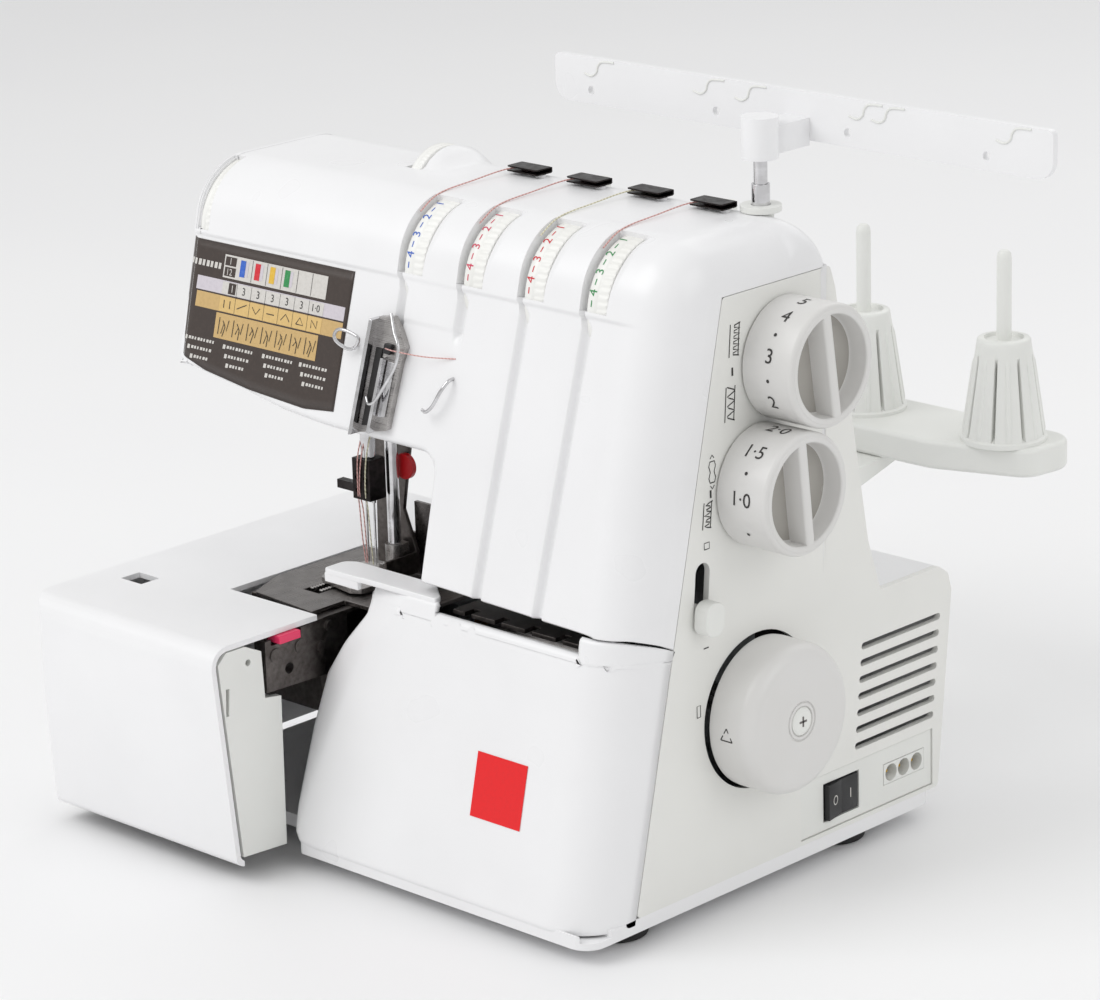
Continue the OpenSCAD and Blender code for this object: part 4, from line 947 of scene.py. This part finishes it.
# A thumb wheel: a lathe profile (radius, x) whose right half of the rim carries fine ridges, as a
# cosine of the angle added to the radius.
def thumbWheel(name, body, node, low, high, centre, radius, digits="", colour=None):
    width = high - low
    scale = min(wheels["scaleWidth"], width * 0.5)
    split = low + scale
    profile = [(0, low), (radius - 1.2, low), (radius - 0.5, low + 0.15), (radius, low + 0.6)]
    profile += [(radius, split - 0.3), (radius - 0.25, split), (radius - 0.25, split + 0.3)]
    profile += [(radius, split + 0.7), (radius, high - 1.0), (radius - 0.4, high - 0.3), (radius - 1.3, high)]
    profile += [(radius - 5, high), (radius - 5.6, high - 0.6), (8, high - 0.6), (0, high - 0.6)]
    sides = wheels["ridges"] * 6

    def ripple(along, angles):
        onRidges = smooth(along, split + 0.3, split + 0.8) * (1 - smooth(along, high - 1.1, high - 0.6))
        return wheels["ridgeDepth"] * (np.cos(angles * wheels["ridges"]) - 1) * onRidges

    parts = [turnedPart(profile, (0, *centre), "x", sides, ripple=ripple)]
    wheel = closedPiece(name, parts, [dialWhite], sharpAngle=50)
    settle(wheel, body, "dial_white", node)
    if not digits:
        return
    marks = []
    ring = radius + 0.12
    for k, text in enumerate(digits):
        angle = 109 + k * 17
        marks.append(onRim(inkText(text, 4.3), centre, ring, low + scale / 2, angle, 90))
        marks.append(onRim(bar(0.55, 2.7), centre, ring, low + scale / 2, angle + 8.5))
    scaleInk = closedPiece(name + "Scale", marks, [colour])
    settle(scaleInk, body, "dial_white", node)


dialInks = [inkBlue, inkPink, inkRed, inkGreen]
for i, left in enumerate(dialLefts):
    thumbWheel(f"tensionDial{i + 1}", f"tension_{i + 1}", f"tension_dial_{i + 1}", left,
               left + dials["width"], (dials["y"], dials["z"]), dials["radius"], "1234", dialInks[i])
programRight = nodeBox("program_dial")[1][0]
thumbWheel("programWheel", "program_wheel", "program_dial", programRight - 7, programRight - 1,
           (dials["y"], dials["z"]), dials["radius"])
pressureLow, pressureHigh = nodeBox("foot_pressure_dial")
thumbWheel("footPressureWheel", "pressure_wheel", "foot_pressure_dial", pressureLow[0] + 2.4,
           pressureHigh[0] - 1.2, (casing["pressureY"], casing["pressureZ"]), casing["pressureRadius"] - 0.1)
print("thumb wheels made")


knobs = {"rimRound": 2.6, "wall": 4.6, "wellDepth": 9.0, "barWidth": 5.4, "barRoot": 7.4}
# where each dial's bar and marks stand, in degrees
stitchScale = {"bar": 98, "marks": [("5", 96), ("4", 122), ("dot", 143), ("3", 163), ("dot", 186),
                                    ("2", 208)]}
feedScale = {"bar": 96, "marks": [("2·0", 95), ("1·5", 130), ("dot", 152), ("1·0", 176), ("dot", 212)]}


def roundProfile(r0, x0, r1, x1, steps=5, hollow=False):
    # quarter ellipse from (r0, x0) to (r1, x1)
    t = np.linspace(0, math.pi / 2, steps + 1)
    if hollow:
        return [(r0 + (r1 - r0) * math.sin(a), x1 + (x0 - x1) * math.cos(a)) for a in t]
    return [(r1 + (r0 - r1) * math.cos(a), x0 + (x1 - x0) * math.sin(a)) for a in t]


# A side dial: lathe profile (radius, x) with a rounded rim and a sunken floor, and a tapered bar across.
def sideDial(name, body, node, setting):
    low, high = nodeBox(node)
    centre = (low[1:] + high[1:]) / 2
    radius = (high[2] - low[2]) / 2
    out = high[0]
    inner = radius - knobs["wall"]
    floor = out - knobs["wellDepth"]
    base = max(low[0], 0.7)
    profile = [(0, base), (radius - 0.8, base), (radius - 0.2, base + 0.3)]
    profile += roundProfile(radius, out - knobs["rimRound"], radius - 2.0, out - 0.35)
    profile += [(radius - 2.3, out), (inner + 0.9, out)]
    profile += roundProfile(inner + 0.9, out, inner, out - 1.0, 3, hollow=True)
    profile += [(inner - 0.3, floor + 1.0), (inner - 1.2, floor)]
    # the well's floor takes the darker grey: painted shade in the recess
    wellProfile = [(inner - 1.2, floor), (inner * 0.6, floor - 0.2), (0, floor - 0.2)]
    sides = 96
    where = (0, *centre)
    parts = [turnedPart(profile, where, "x", sides), turnedPart(wellProfile, where, "x", sides, number=1)]
    dial = closedPiece(name, parts, [knobGrey, shadedKnobWell], sharpAngle=40)
    a = math.radians(setting["bar"])
    along, across = np.array([math.cos(a), math.sin(a)]), np.array([-math.sin(a), math.cos(a)])
    reach = inner + 0.8
    rows = []
    for x, half in ((floor - 0.5, knobs["barRoot"] / 2), (floor + 2, knobs["barRoot"] / 2 - 0.4),
                    (out - 1.2, knobs["barWidth"] / 2), (out - 0.5, knobs["barWidth"] / 2 - 0.3),
                    (out - 0.15, knobs["barWidth"] / 2 - 0.9)):
        corners = [along * s * reach + across * t * half for s, t in ((-1, -1), (1, -1), (1, 1), (-1, 1))]
        rows += [(x, *(centre + corner)) for corner in corners]
    faces = gridFaces(5, 4, closeColumns=True).tolist() + [[0, 3, 2, 1], [16, 17, 18, 19]]
    grip = closedPiece(name + "Grip", [(np.array(rows), faces, 0)], [knobGrey], sharpAngle=40)
    marks = []
    middle = base + (out - base) * 0.52
    for text, angle in setting["marks"]:
        shape = dot(0.8) if text == "dot" else inkText(text, 6.4)
        marks.append(onRim(shape, centre, radius + 0.1, middle, angle))
    ink = closedPiece(name + "Numbers", marks, [inkBlack])
    for piece in (dial, grip, ink):
        settle(piece, body, "grey_knob", node)


sideDial("stitchLengthDial", "stitch_dial", "stitch_length_dial", stitchScale)
sideDial("differentialDial", "feed_dial", "differential_dial", feedScale)


# Handwheel: lathe profile (radius, x) with a wide rounded rim, a flat face and a shallow ring.
def makeHandwheel():
    low, high = nodeBox("handwheel")
    centre = (low[1:] + high[1:]) / 2
    radius, out = (high[2] - low[2]) / 2, high[0]
    profile = [(6, 0.9), (radius - 1.0, 0.9), (radius - 0.2, 1.5), (radius, 3.2), (radius, out - 7.6)]
    profile += roundProfile(radius, out - 7.6, radius - 6.6, out - 0.3, 8)
    profile += [(radius - 9, out - 0.05), (radius - 14, out), (9.0, out), (8.7, out - 0.7), (8.3, out - 0.7)]
    profile += [(8.0, out - 0.1), (6.9, out), (6.6, out - 0.8), (0, out - 0.8)]
    where = (0, *centre)
    wheel = closedPiece("handwheelCast", [turnedPart(profile, where, "x", 128)], [knobGrey], 40)
    settle(wheel, "drive", "grey_knob", "handwheel")
    cap = [(0, out - 0.9), (6.2, out - 0.9), (6.2, out - 0.2)]
    cap += [(5.7, out + 0.3), (4.2, out + 0.55), (0, out + 0.6)]
    screw = closedPiece("handwheelCap", [turnedPart(cap, where, "x", 48)], [softWhite], 40)
    settle(screw, "drive", "bright_metal", "handwheel_screw")
    slot = [boxPart((out + 0.5, centre[0] - w, centre[1] - h), (out + 0.72, centre[0] + w, centre[1] + h))
            for w, h in ((2.3, 0.45), (0.45, 2.3))]
    cross = closedPiece("handwheelCross", slot, [platedSteel])
    settle(cross, "drive", "bright_metal", "handwheel_screw")
    # arrow outline printed on the rim
    arrow = []
    corners = np.array([(-3.2, -2.6), (3.2, -2.6), (0, 3.0)])
    for k in range(3):
        p, q = corners[k], corners[(k + 1) % 3]
        side = (q - p)[::-1] * (1, -1) / np.linalg.norm(q - p) * 0.28
        pen = np.array([p - side, q - side, q + side, p + side])
        arrow.append(onRim((pen, [[0, 1, 2, 3]]), centre, radius + 0.1, out - 13.5, 180))
    mark = closedPiece("handwheelArrow", arrow, [inkBlack])
    settle(mark, "drive", "grey_knob")


makeHandwheel()
print("side dials and handwheel made")


label = {
    "top": 260.4, "left": -293.8, "right": (-186.6, -189.3), "lift": 0.22,
    "bottom": [(-293.8, 211), (-290, 207.4), (-275, 203.4), (-244.5, 199.6), (-208, 197.4), (-189, 199.2)],
}


# Lays (x, z) points on the head's face below the ledge, lift mm proud, round its left end too.
def onFace(points, lift):
    x, z = points[..., 0], points[..., 1]
    round_ = casing["leftRound"]
    bend = np.clip((machine["headLeft"] + round_ - x) / round_, 0, 0.999)
    y = frontY(z) + casing["ledgeDepth"] + round_ * (1 - np.sqrt(1 - bend**2)) - lift
    return np.stack([x, y, z], -1)


# A printed block on the label; its lower edge is set 0.24 to the left.
def cell(x0, x1, zTop, zLow, number=0, lift=0.32):
    corners = np.array([(x0, zTop), (x1, zTop), (x1 - 0.24, zLow), (x0 - 0.24, zLow)])
    return onFace(corners, lift), [[0, 3, 2, 1]], number


# A pen line of one width through a few (u, v) points.
def stroke(points, width):
    points = np.asarray(points, float)
    ahead = np.gradient(points, axis=0)
    ahead /= np.linalg.norm(ahead, axis=1)[:, None]
    side = np.stack([-ahead[:, 1], ahead[:, 0]], 1) * width / 2
    line = np.stack([points - side, points + side], 1).reshape(-1, 2)
    return line, gridFaces(len(points), 2).tolist()


def makeLabel():
    s, t = np.meshgrid(np.linspace(0, 1, 60), np.linspace(0, 1, 14))
    right = np.interp(t, [0, 1], label["right"][::-1])
    x = label["left"] + (right - label["left"]) * s
    low = np.interp(x, *np.array(label["bottom"]).T)
    z = low + (label["top"] - low) * t
    plate = onFace(np.stack([x, z], -1), label["lift"]).reshape(-1, 3)
    film = meshObject("programLabel", [(plate, gridFaces(14, 60), 0)], [labelBrown])
    giveWall(film, 0.2)
    settle(film, "frame", "label_brown", "program_panel")
    inks = [inkWhite, inkLilac, inkTan, inkSand, inkBlue, inkRed, inkYellow, inkGreen, inkBlack, labelBrown]
    parts = [cell(-270.2, -202.6, 255.9, 245.7, 0)]
    parts += [cell(-269.4, -262.2, 255.1, 251.2, 9, 0.4), cell(-269.4, -262.2, 250.5, 246.5, 9, 0.4)]
    for k in range(4):
        left = -259.4 + k * 9.75
        parts += [cell(left, left + 3.4, 254.7, 247.4, 4 + k, 0.42),
                  cell(left + 3.6, left + 5.4, 254.5, 247.6, 1, 0.4)]
    parts += [cell(x0, x0 + 0.25, 255.6, 246, 8, 0.42) for x0 in (-251.6, -241.9, -232.1, -221.8, -212.4)]
    parts += [cell(-286.8, -189.7, 244.4, 238.3, 1), cell(-286.2, -189.9, 237.6, 230.6, 3),
              cell(-270.2, -203.2, 237.4, 230.8, 2, 0.4), cell(-269.6, -203.0, 244.0, 238.5, 0, 0.4),
              cell(-265.4, -260.6, 243.8, 238.9, 9, 0.46), cell(-271.6, -204.4, 229.9, 218.7, 3)]
    parts += [cell(x0, x0 + 0.22, 244, 230.8, 8, 0.44) for x0 in (-260, -250.5, -241, -231.5, -222, -212.5)]
    digits = [("1", -266, 253.3, 2.9, 0), ("3", -255.3, 241.3, 3.4, 8), ("3", -245.8, 241.3, 3.4, 8),
              ("3", -236.3, 241.3, 3.4, 8), ("3", -226.8, 241.3, 3.4, 8), ("3", -217.3, 241.3, 3.4, 8),
              ("1", -263, 241.4, 3.2, 0), ("1", -267.3, 234.2, 3.6, 8), ("1", -263.4, 234.2, 3.6, 8),
              ("12", -266, 248.5, 2.9, 0), ("1·0", -207.8, 241.3, 3.2, 8)]
    for text, x0, z0, height, number in digits:
        points, faces = inkText(text, height)
        parts.append((onFace(points + (x0, z0), 0.5), faces, number))
    small = [[(-258.6, 233.2), (-252.4, 235.8)], [(-248.6, 235.6), (-246, 232.8), (-243.4, 235.6)],
             [(-239, 234.2), (-234, 234.2)], [(-229.5, 232.8), (-226.6, 235.8), (-223.8, 232.8)],
             [(-219.6, 232.6), (-217.2, 235.8), (-214.8, 232.6), (-219.4, 232.7)],
             [(-209.8, 232.4), (-209.8, 235.8), (-206.2, 232.6), (-206.2, 236)]]
    for k in range(7):
        x0 = -269.2 + k * 9.5
        small.append([(x0, 220.5), (x0 + 0.4, 228)])
        small.append([(x0 + 2, 221 + k % 3), (x0 + 3.6, 226 - k % 2), (x0 + 5.4, 222.4), (x0 + 6.6, 227.4)])
        small.append([(x0 + 3 + k % 2, 219.8), (x0 + 4.4, 224.2), (x0 + 2.6, 226.8)])
    for points in small:
        line, faces = stroke(points, 0.42)
        parts.append((onFace(line, 0.48), faces, 8))
    for group, (x0, z0) in enumerate(((-290.5, 217.2), (-264.6, 216.6), (-238.4, 216.6), (-214.2, 216.8))):
        for row in range(3):
            lineLeft = x0 + row * (2.4 if group == 0 else 1.6)
            length = 21 - 4.5 * row if group != 3 else 19 - 2 * row
            parts.append(cell(lineLeft, lineLeft + 1.7, z0 - 4 * row, z0 - 4 * row - 1.9, 0, 0.36))
            for k in range(int(length / 2.2)):
                at = lineLeft + 2.6 + k * 2.0
                end = at + 1.5 - 0.25 * (k % 3)
                parts.append(cell(at, end, z0 - 4 * row - 0.2, z0 - 4 * row - 1.5, 0, 0.34))
    word = [cell(-292.6 + k * 2.7, -290.7 + k * 2.7 - 0.3 * (k % 2), 251.6, 248.9, 0, 0.36) for k in range(8)]
    ink = closedPiece("programLabelPrint", parts + word, inks, merge=0.0005)
    settle(ink, "frame", "label_brown", "program_panel")


# Marks printed on the right side panel, given by (y, z).
def makeSideMarks():
    def flat(shape, y, z):
        points, faces = shape
        return np.stack([np.full(len(points), 0.1), points[:, 0] + y, points[:, 1] + z], 1), faces, 0

    parts = []
    t = np.linspace(0, 1, 19)
    stitches = ((91.5, 252, 5.6, 14, 6), (88.2, 225, 5.6, 15, 3.5), (72.8, 180, 4.8, 11.5, 5))
    for y0, z0, wide, tall, turns in stitches:
        wave = 2 * np.abs((t * turns) % 1 - 0.5)
        zig = np.stack([(wave - 0.5) * wide + t * 1.2, (t - 0.5) * tall], 1)
        parts.append(flat(stroke(zig, 0.55), y0, z0))
        for edge in (-wide / 2, wide / 2):
            rail = [(edge - 0.6, -tall / 2), (edge + 0.6, tall / 2)]
            parts.append(flat(stroke(rail, 0.55), y0, z0))
    parts += [flat(bar(1.1, 3.6), 90, 238.6), flat(bar(1.1, 3.4), 75.2, 188.8)]
    ring = [(-1.4, -4.6), (1.4, -4.6), (2.1, -2.6), (1.2, 0), (2.1, 2.6), (1.4, 4.6), (-1.4, 4.6),
            (-2.1, 2.6), (-1.2, 0), (-2.1, -2.6), (-1.4, -4.6)]
    parts.append(flat(stroke(ring, 0.5), 76.4, 198.2))
    parts += [flat(stroke([(-1.2, -5.9), (0, -7.4), (1.2, -5.9)], 0.5), 76.4, 198.2),
              flat(stroke([(-1.2, 5.9), (0, 7.4), (1.2, 5.9)], 0.5), 76.4, 198.2)]
    for w, h, y0, z0 in ((1.1, 2.6, 65.3, 94.8), (1.6, 1.4, 72.2, 166.8)):
        parts.append(flat(stroke([(-w, -h), (w, -h), (w, h), (-w, h), (-w, -h)], 0.45), y0, z0))
    parts.append(flat(stroke([(-1.6, 0), (1.6, 0)], 0.55), 70.7, 121.9))
    marks = closedPiece("sidePanelMarks", parts, [inkBlack], merge=0.0005)
    settle(marks, "frame", "casing_white")


makeLabel()
makeSideMarks()
print("printing done")


def frontPoint(x, z, proud=0.0):
    return (x, float(frontY(z)) - proud, z)


def wire(name, points, radius, material, body, slot, nodes=(), count=40):
    path = curveThrough(points, count)
    piece = closedPiece(name, [(*sweptTube(path, radius, 12), 0)], [material], 60)
    return settle(piece, body, slot, *nodes)


# Plate standing off the sloping front: an (x, z) outline between two depths.
def frontSlab(outline, near, far):
    outline = np.asarray(outline, float)
    count = len(outline)
    layers = [np.stack([outline[:, 0], frontY(outline[:, 1]) - d, outline[:, 1]], 1) for d in (near, far)]
    faces = gridFaces(2, count, closeColumns=True).tolist()
    faces += [list(range(count))[::-1], list(range(count, 2 * count))]
    return np.concatenate(layers), faces, 0


def makeThreadGuard():
    back = roundedOutline([(-171.2, 194), (-152.6, 197.6), (-149.6, 226), (-147.4, 234), (-152, 240.8),
                           (-157, 246), (-166.8, 244.6)], 1.2, 3)
    plate = closedPiece("threadGuardBack", [frontSlab(back, -1.6, 1.6)], [groundSteel])
    side = [(-171.2, 194), (-169.2, 194.4), (-165.0, 244.4), (-167, 244.8)]
    wing = closedPiece("threadGuardSide", [frontSlab(side, 0, 6.5)], [chrome])
    other = [(-161.4, 196), (-159.6, 196.2), (-156.6, 229), (-158.2, 229)]
    rib = closedPiece("threadGuardRib", [frontSlab(other, 0, 5.4)], [chrome])
    # a near-black sheet in the slot: painted shadow for the slot's inside
    slotShadowOutline = [(-167.4, 198), (-163.4, 198.4), (-160.4, 232), (-164.4, 232)]
    slot = closedPiece("threadGuardSlotShadow", [frontSlab(slotShadowOutline, 1.7, 2.2)], [paintedSlotShade])
    blockAt = [(-159.2, 230.4), (-154.8, 230.2), (-154.4, 234.6), (-158.8, 234.8)]
    block = closedPiece("threadGuardBlock", [frontSlab(blockAt, 0.4, 3.4)], [blackAbs])
    windowAt = [(-158.2, 203), (-154, 203.6), (-151.8, 227), (-156.2, 227.4)]
    window = closedPiece("threadGuardWindow", [frontSlab(windowAt, 1.7, 2.4)], [chrome])
    for piece, round_ in ((plate, 0.4), (wing, 0.4), (rib, 0.3), (slot, 0), (block, 0.4), (window, 0.2)):
        if round_:
            roundEdges(piece, round_)
        settle(piece, "frame", "bright_metal", "thread_guard")
    frameWire = [frontPoint(-157, 247.5, 3), frontPoint(-152.4, 240.6, 4.5), frontPoint(-148.2, 234.4, 5),
                 frontPoint(-149.2, 226, 5), frontPoint(-154.8, 216, 5), frontPoint(-158.6, 210.2, 5),
                 frontPoint(-162.4, 208.4, 4.6), frontPoint(-165.2, 210.6, 3.6)]
    wire("threadGuardWire", frameWire, 0.75, chrome, "frame", "bright_metal", ["thread_guard"], 48)
    stripAt = [(-176.6, 194), (-172.6, 194.4), (-168.6, 241), (-172.6, 240.6)]
    strip = closedPiece("bronzeStrip", [frontSlab(stripAt, -2.6, -1.4)], [tanFilm])
    settle(strip, "frame", "bright_metal", "thread_guides")
    loop = [frontPoint(x, z, p) for x, z, p in ((-178.6, 230, -1), (-181, 228.4, 2), (-186.4, 231, 4.4),
                                                (-188.4, 234, 5), (-186, 236.8, 5), (-180, 236.6, 4.6),
                                                (-174.8, 234.6, 3.6), (-175.6, 231.4, 3), (-178.4, 229, 1.4))]
    wire("chromeLoop", loop, 0.8, chrome, "frame", "bright_metal", ["thread_guides"], 44)
    hook = [frontPoint(-119.5, 225, -2.4), frontPoint(-119.4, 224.4, 1.5), frontPoint(-121.5, 220, 3.4),
            frontPoint(-125, 213.6, 3.4), frontPoint(-128.6, 210.4, 3.2), frontPoint(-131.4, 210.8, 2.8)]
    wire("chromeHook", hook, 0.8, chrome, "frame", "bright_metal", ["thread_guides"], 36)
    across = [frontPoint(-157.4, 232.8, 3.6), frontPoint(-150, 233.1, 5.2), frontPoint(-135, 232.6, 2.4),
              frontPoint(-119.4, 233.3, -1.6)]
    wire("guardThread", across, 0.28, threadRose, "frame", "thread", count=20)


# Clips on the casing's top, each a folded dark plate on two white bosses, with its threads.
def makeClips():
    for i, left in enumerate(dialLefts):
        x, y, z = left + 6, 127.0, machine["top"]
        corners = [(x - 9.6, y - 5.2), (x + 9.6, y - 5.2), (x + 9.6, y + 4.6), (x - 9.6, y + 4.6)]
        outline = roundedOutline(corners, 1.0, 3)
        lower = slabPart(outline, z + 1.4, z + 2.1, "z")
        upper = slabPart(outline * (0.96, 1) + (x * 0.04, 0), z + 3.4, z + 4.1, "z")
        fold = boxPart((x - 9.4, y + 3.9, z + 1.6), (x + 9.4, y + 4.8, z + 4.0))
        clip = closedPiece(f"threadClip{i + 1}", [lower, upper, fold], [blackOxide])
        roundEdges(clip, 0.25)
        settle(clip, "frame", "bright_metal", "thread_guides")
        profile = [(0, z - 0.5), (2.4, z - 0.5), (2.4, z + 1.1), (2.0, z + 1.5), (0, z + 1.5)]
        parts = [turnedPart(profile, (x + d, y, 0), "z", 24) for d in (-6.6, 6.6)]
        bosses = closedPiece(f"clipBosses{i + 1}", parts, [casingWhite])
        settle(bosses, "frame", "bright_metal", "thread_guides")
        start, end = (x - 7.5, y - 4.5, z + 2.8), (left - 1.4, 77.6, z - 0.2)
        path = curveThrough([(x + 3, y + 3, z + 2.8), start, (left - 3.5, 101, z + 1.0), end,
                             (left - 1.4, 66, z - 6.0)], 26)
        thread = threadCream if i == 2 else threadRose
        line = closedPiece(f"topThread{i + 1}", [(*sweptTube(path, 0.32, 8), 0)], [thread], 60)
        settle(line, "frame", "thread", "threads")


def makeNeedleThreads():
    for k, (x, material) in enumerate(((-194.4, threadRose), (-191.2, threadCream), (-196.6, threadRose))):
        points = [(x + 1.2, 61, 184), (x + 1.6, 56.9, 173), (x + 0.6 * k, 56.6, 158), (x - 0.5, 58.8, 148),
                  (x - 1.0, 60.2, 134), (x - 1.2 + 0.6 * k, 60.8, 122)]
        wire(f"needleThread{k + 1}", points, 0.3, material, "needle_slide", "thread", (), 30)


# Mains switch marks and the inlet's brass pins.
def makePowerDetails():
    t = np.linspace(0, 2 * math.pi, 25)
    ring, ringFaces = stroke(np.stack([np.cos(t) * 1.7, np.sin(t) * 2.0], 1), 0.5)
    line, lineFaces = bar(0.6, 4.4)

    def onRocker(points, y0):
        y = points[:, 0] + y0
        x = np.interp(y, [148, 159, 170.2], [1.8, -0.6, -0.6]) + 0.12
        return np.stack([x, y, points[:, 1] + 28.3], 1)

    parts = [(onRocker(ring, 153.6), ringFaces, 0), (onRocker(line, 165.2), lineFaces, 0)]
    marks = closedPiece("rockerMarks", parts, [inkWhite])
    settle(marks, "switch", "black_plastic")
    pins = []
    for k in range(3):
        path = [(x, 193.6 + 8.9 * k, 29.4) for x in (-17.5, -5, -3.2)]
        pins.append((*sweptTube(path, [1.35, 1.35, 0.7], 16), 0))
    settle(closedPiece("inletPins", pins, [brassPin], 50), "frame", "bright_metal")


stand = {"low": 136.0, "high": 150.0, "left": -314.0, "back": 344.0, "cones": 4, "pitch": 84.0,
         "first": -36.0, "y": 320.0, "coneHeight": 48.6, "slots": 8}


# Spool stand: a rounded slab, an arm to the machine's back, and four slotted cones with pins. A cone's
# radius falls with height, less a narrow dip at each slot.
def makeStand():
    low, high, left, back = (stand[k] for k in ("low", "high", "left", "back"))
    corners = [(left, back - 50), (-60, back - 50), (-13, back - 34), (-8, back), (left, back)]
    outline = roundedOutline(corners, [14, 30, 12, 14, 14], 10)
    slab = closedPiece("spoolStandBase", [slabPart(outline, low, high, "z")], [softWhite])
    roundEdges(slab, 2.4, 4)
    arm = [(229.2, 40), (240, 40), (248, low - 20), (back - 20, low), (back - 50, low), (242, low - 6),
           (235.6, 100)]
    armOutline = roundedOutline(arm, [1, 6, 10, 2, 2, 10, 1], 6)
    bracket = closedPiece("spoolStandArm", [slabPart(armOutline, -160, -90, "x")], [softWhite])
    roundEdges(bracket, 1.6, 3)
    settle(slab, "frame", "casing_white", "spool_stand")
    settle(bracket, "frame", "casing_white", "spool_stand")
    top = high + stand["coneHeight"]
    steps = np.linspace(0, 1, 22)
    cone = [(0, high - 0.5), (20.4, high - 0.5), (20.4, high + 1.6), (19.6, high + 2.2)]
    cone += [(19.2 - 6.7 * s, high + 2.4 + (stand["coneHeight"] - 3.4) * s) for s in steps]
    cone += [(12.0, top - 0.3), (11.2, top), (9.4, top), (8.8, top - 1.6), (4.2, top - 1.6), (3.5, top - 1.2)]
    cone += [(3.5, 236), (3.1, 238.4), (2.0, 239.7), (0, 240)]

    def slots(along, angles):
        each = np.abs((angles * stand["slots"] / (2 * math.pi)) % 1 - 0.5) * 2
        dip = 1 - smooth(each, 0.06, 0.14)
        ribs = smooth(each, 0.82, 0.9)
        span = smooth(along, high + 2.6, high + 5) * (1 - smooth(along, top - 12, top - 8))
        return (-4.2 * dip + 0.7 * ribs) * span

    for i in range(stand["cones"]):
        where = (stand["first"] - i * stand["pitch"], stand["y"], 0)
        turned = turnedPart(cone, where, "z", 256, ripple=slots)
        piece = closedPiece(f"spoolCone{i + 1}", [turned], [softWhite], 38)
        settle(piece, "frame", "casing_white", "spool_stand")


# Three raised lines on the head's top, and the curled thread hooks moulded along the thread bar.
def makeRaisedLines():
    lines = [((-280.6, 117.4), (-278.7, 135.4)), ((-272.2, 116.8), (-270.4, 135.0)),
             ((-263.6, 116.3), (-262, 134.5))]
    ribs = []
    for a, b in lines:
        path = [(*a, machine["top"] - 0.3), (*a, machine["top"] + 0.25), (*b, machine["top"] + 0.25),
                (*b, machine["top"] - 0.3)]
        ribs.append((*sweptTube(path, 0.5, 10), 0))
    # the raised lines take the darker side-panel white: painted shade
    raised = closedPiece("headTopLines", ribs, [shadedPanelWhite], 60)
    settle(raised, "frame", "casing_white", "front_casing")
    high = nodeBox("thread_bar")[1]
    face = high[1] - 3.1
    hooks = []
    for x in (-143, -78, -54, 10, 22, 88):
        points = [(x + 13, face, high[2] - 1.0), (x + 6, face, high[2] - 1.4), (x + 3.4, face, high[2] - 3.4),
                  (x + 2.2, face, high[2] - 6.6), (x - 1, face, high[2] - 8.4), (x - 5, face, high[2] - 7.6)]
        hooks.append((*sweptTube(curveThrough(points, 26), 0.5, 8), 0))
    settle(closedPiece("threadBarHooks", hooks, [softWhite], 60), "bar", "casing_white", "thread_bar")


makeThreadGuard()
makeRaisedLines()
makeClips()
makeNeedleThreads()
makePowerDetails()
makeStand()
print("small parts made")


for nodeName, (finish, radius) in finishedNodes.items():
    finishedCopy(nodeName, finish, radius)
for nodeName, finish in hiddenNodes.items():
    paintNode(nodeName, finish)
print("CAD pieces finished")
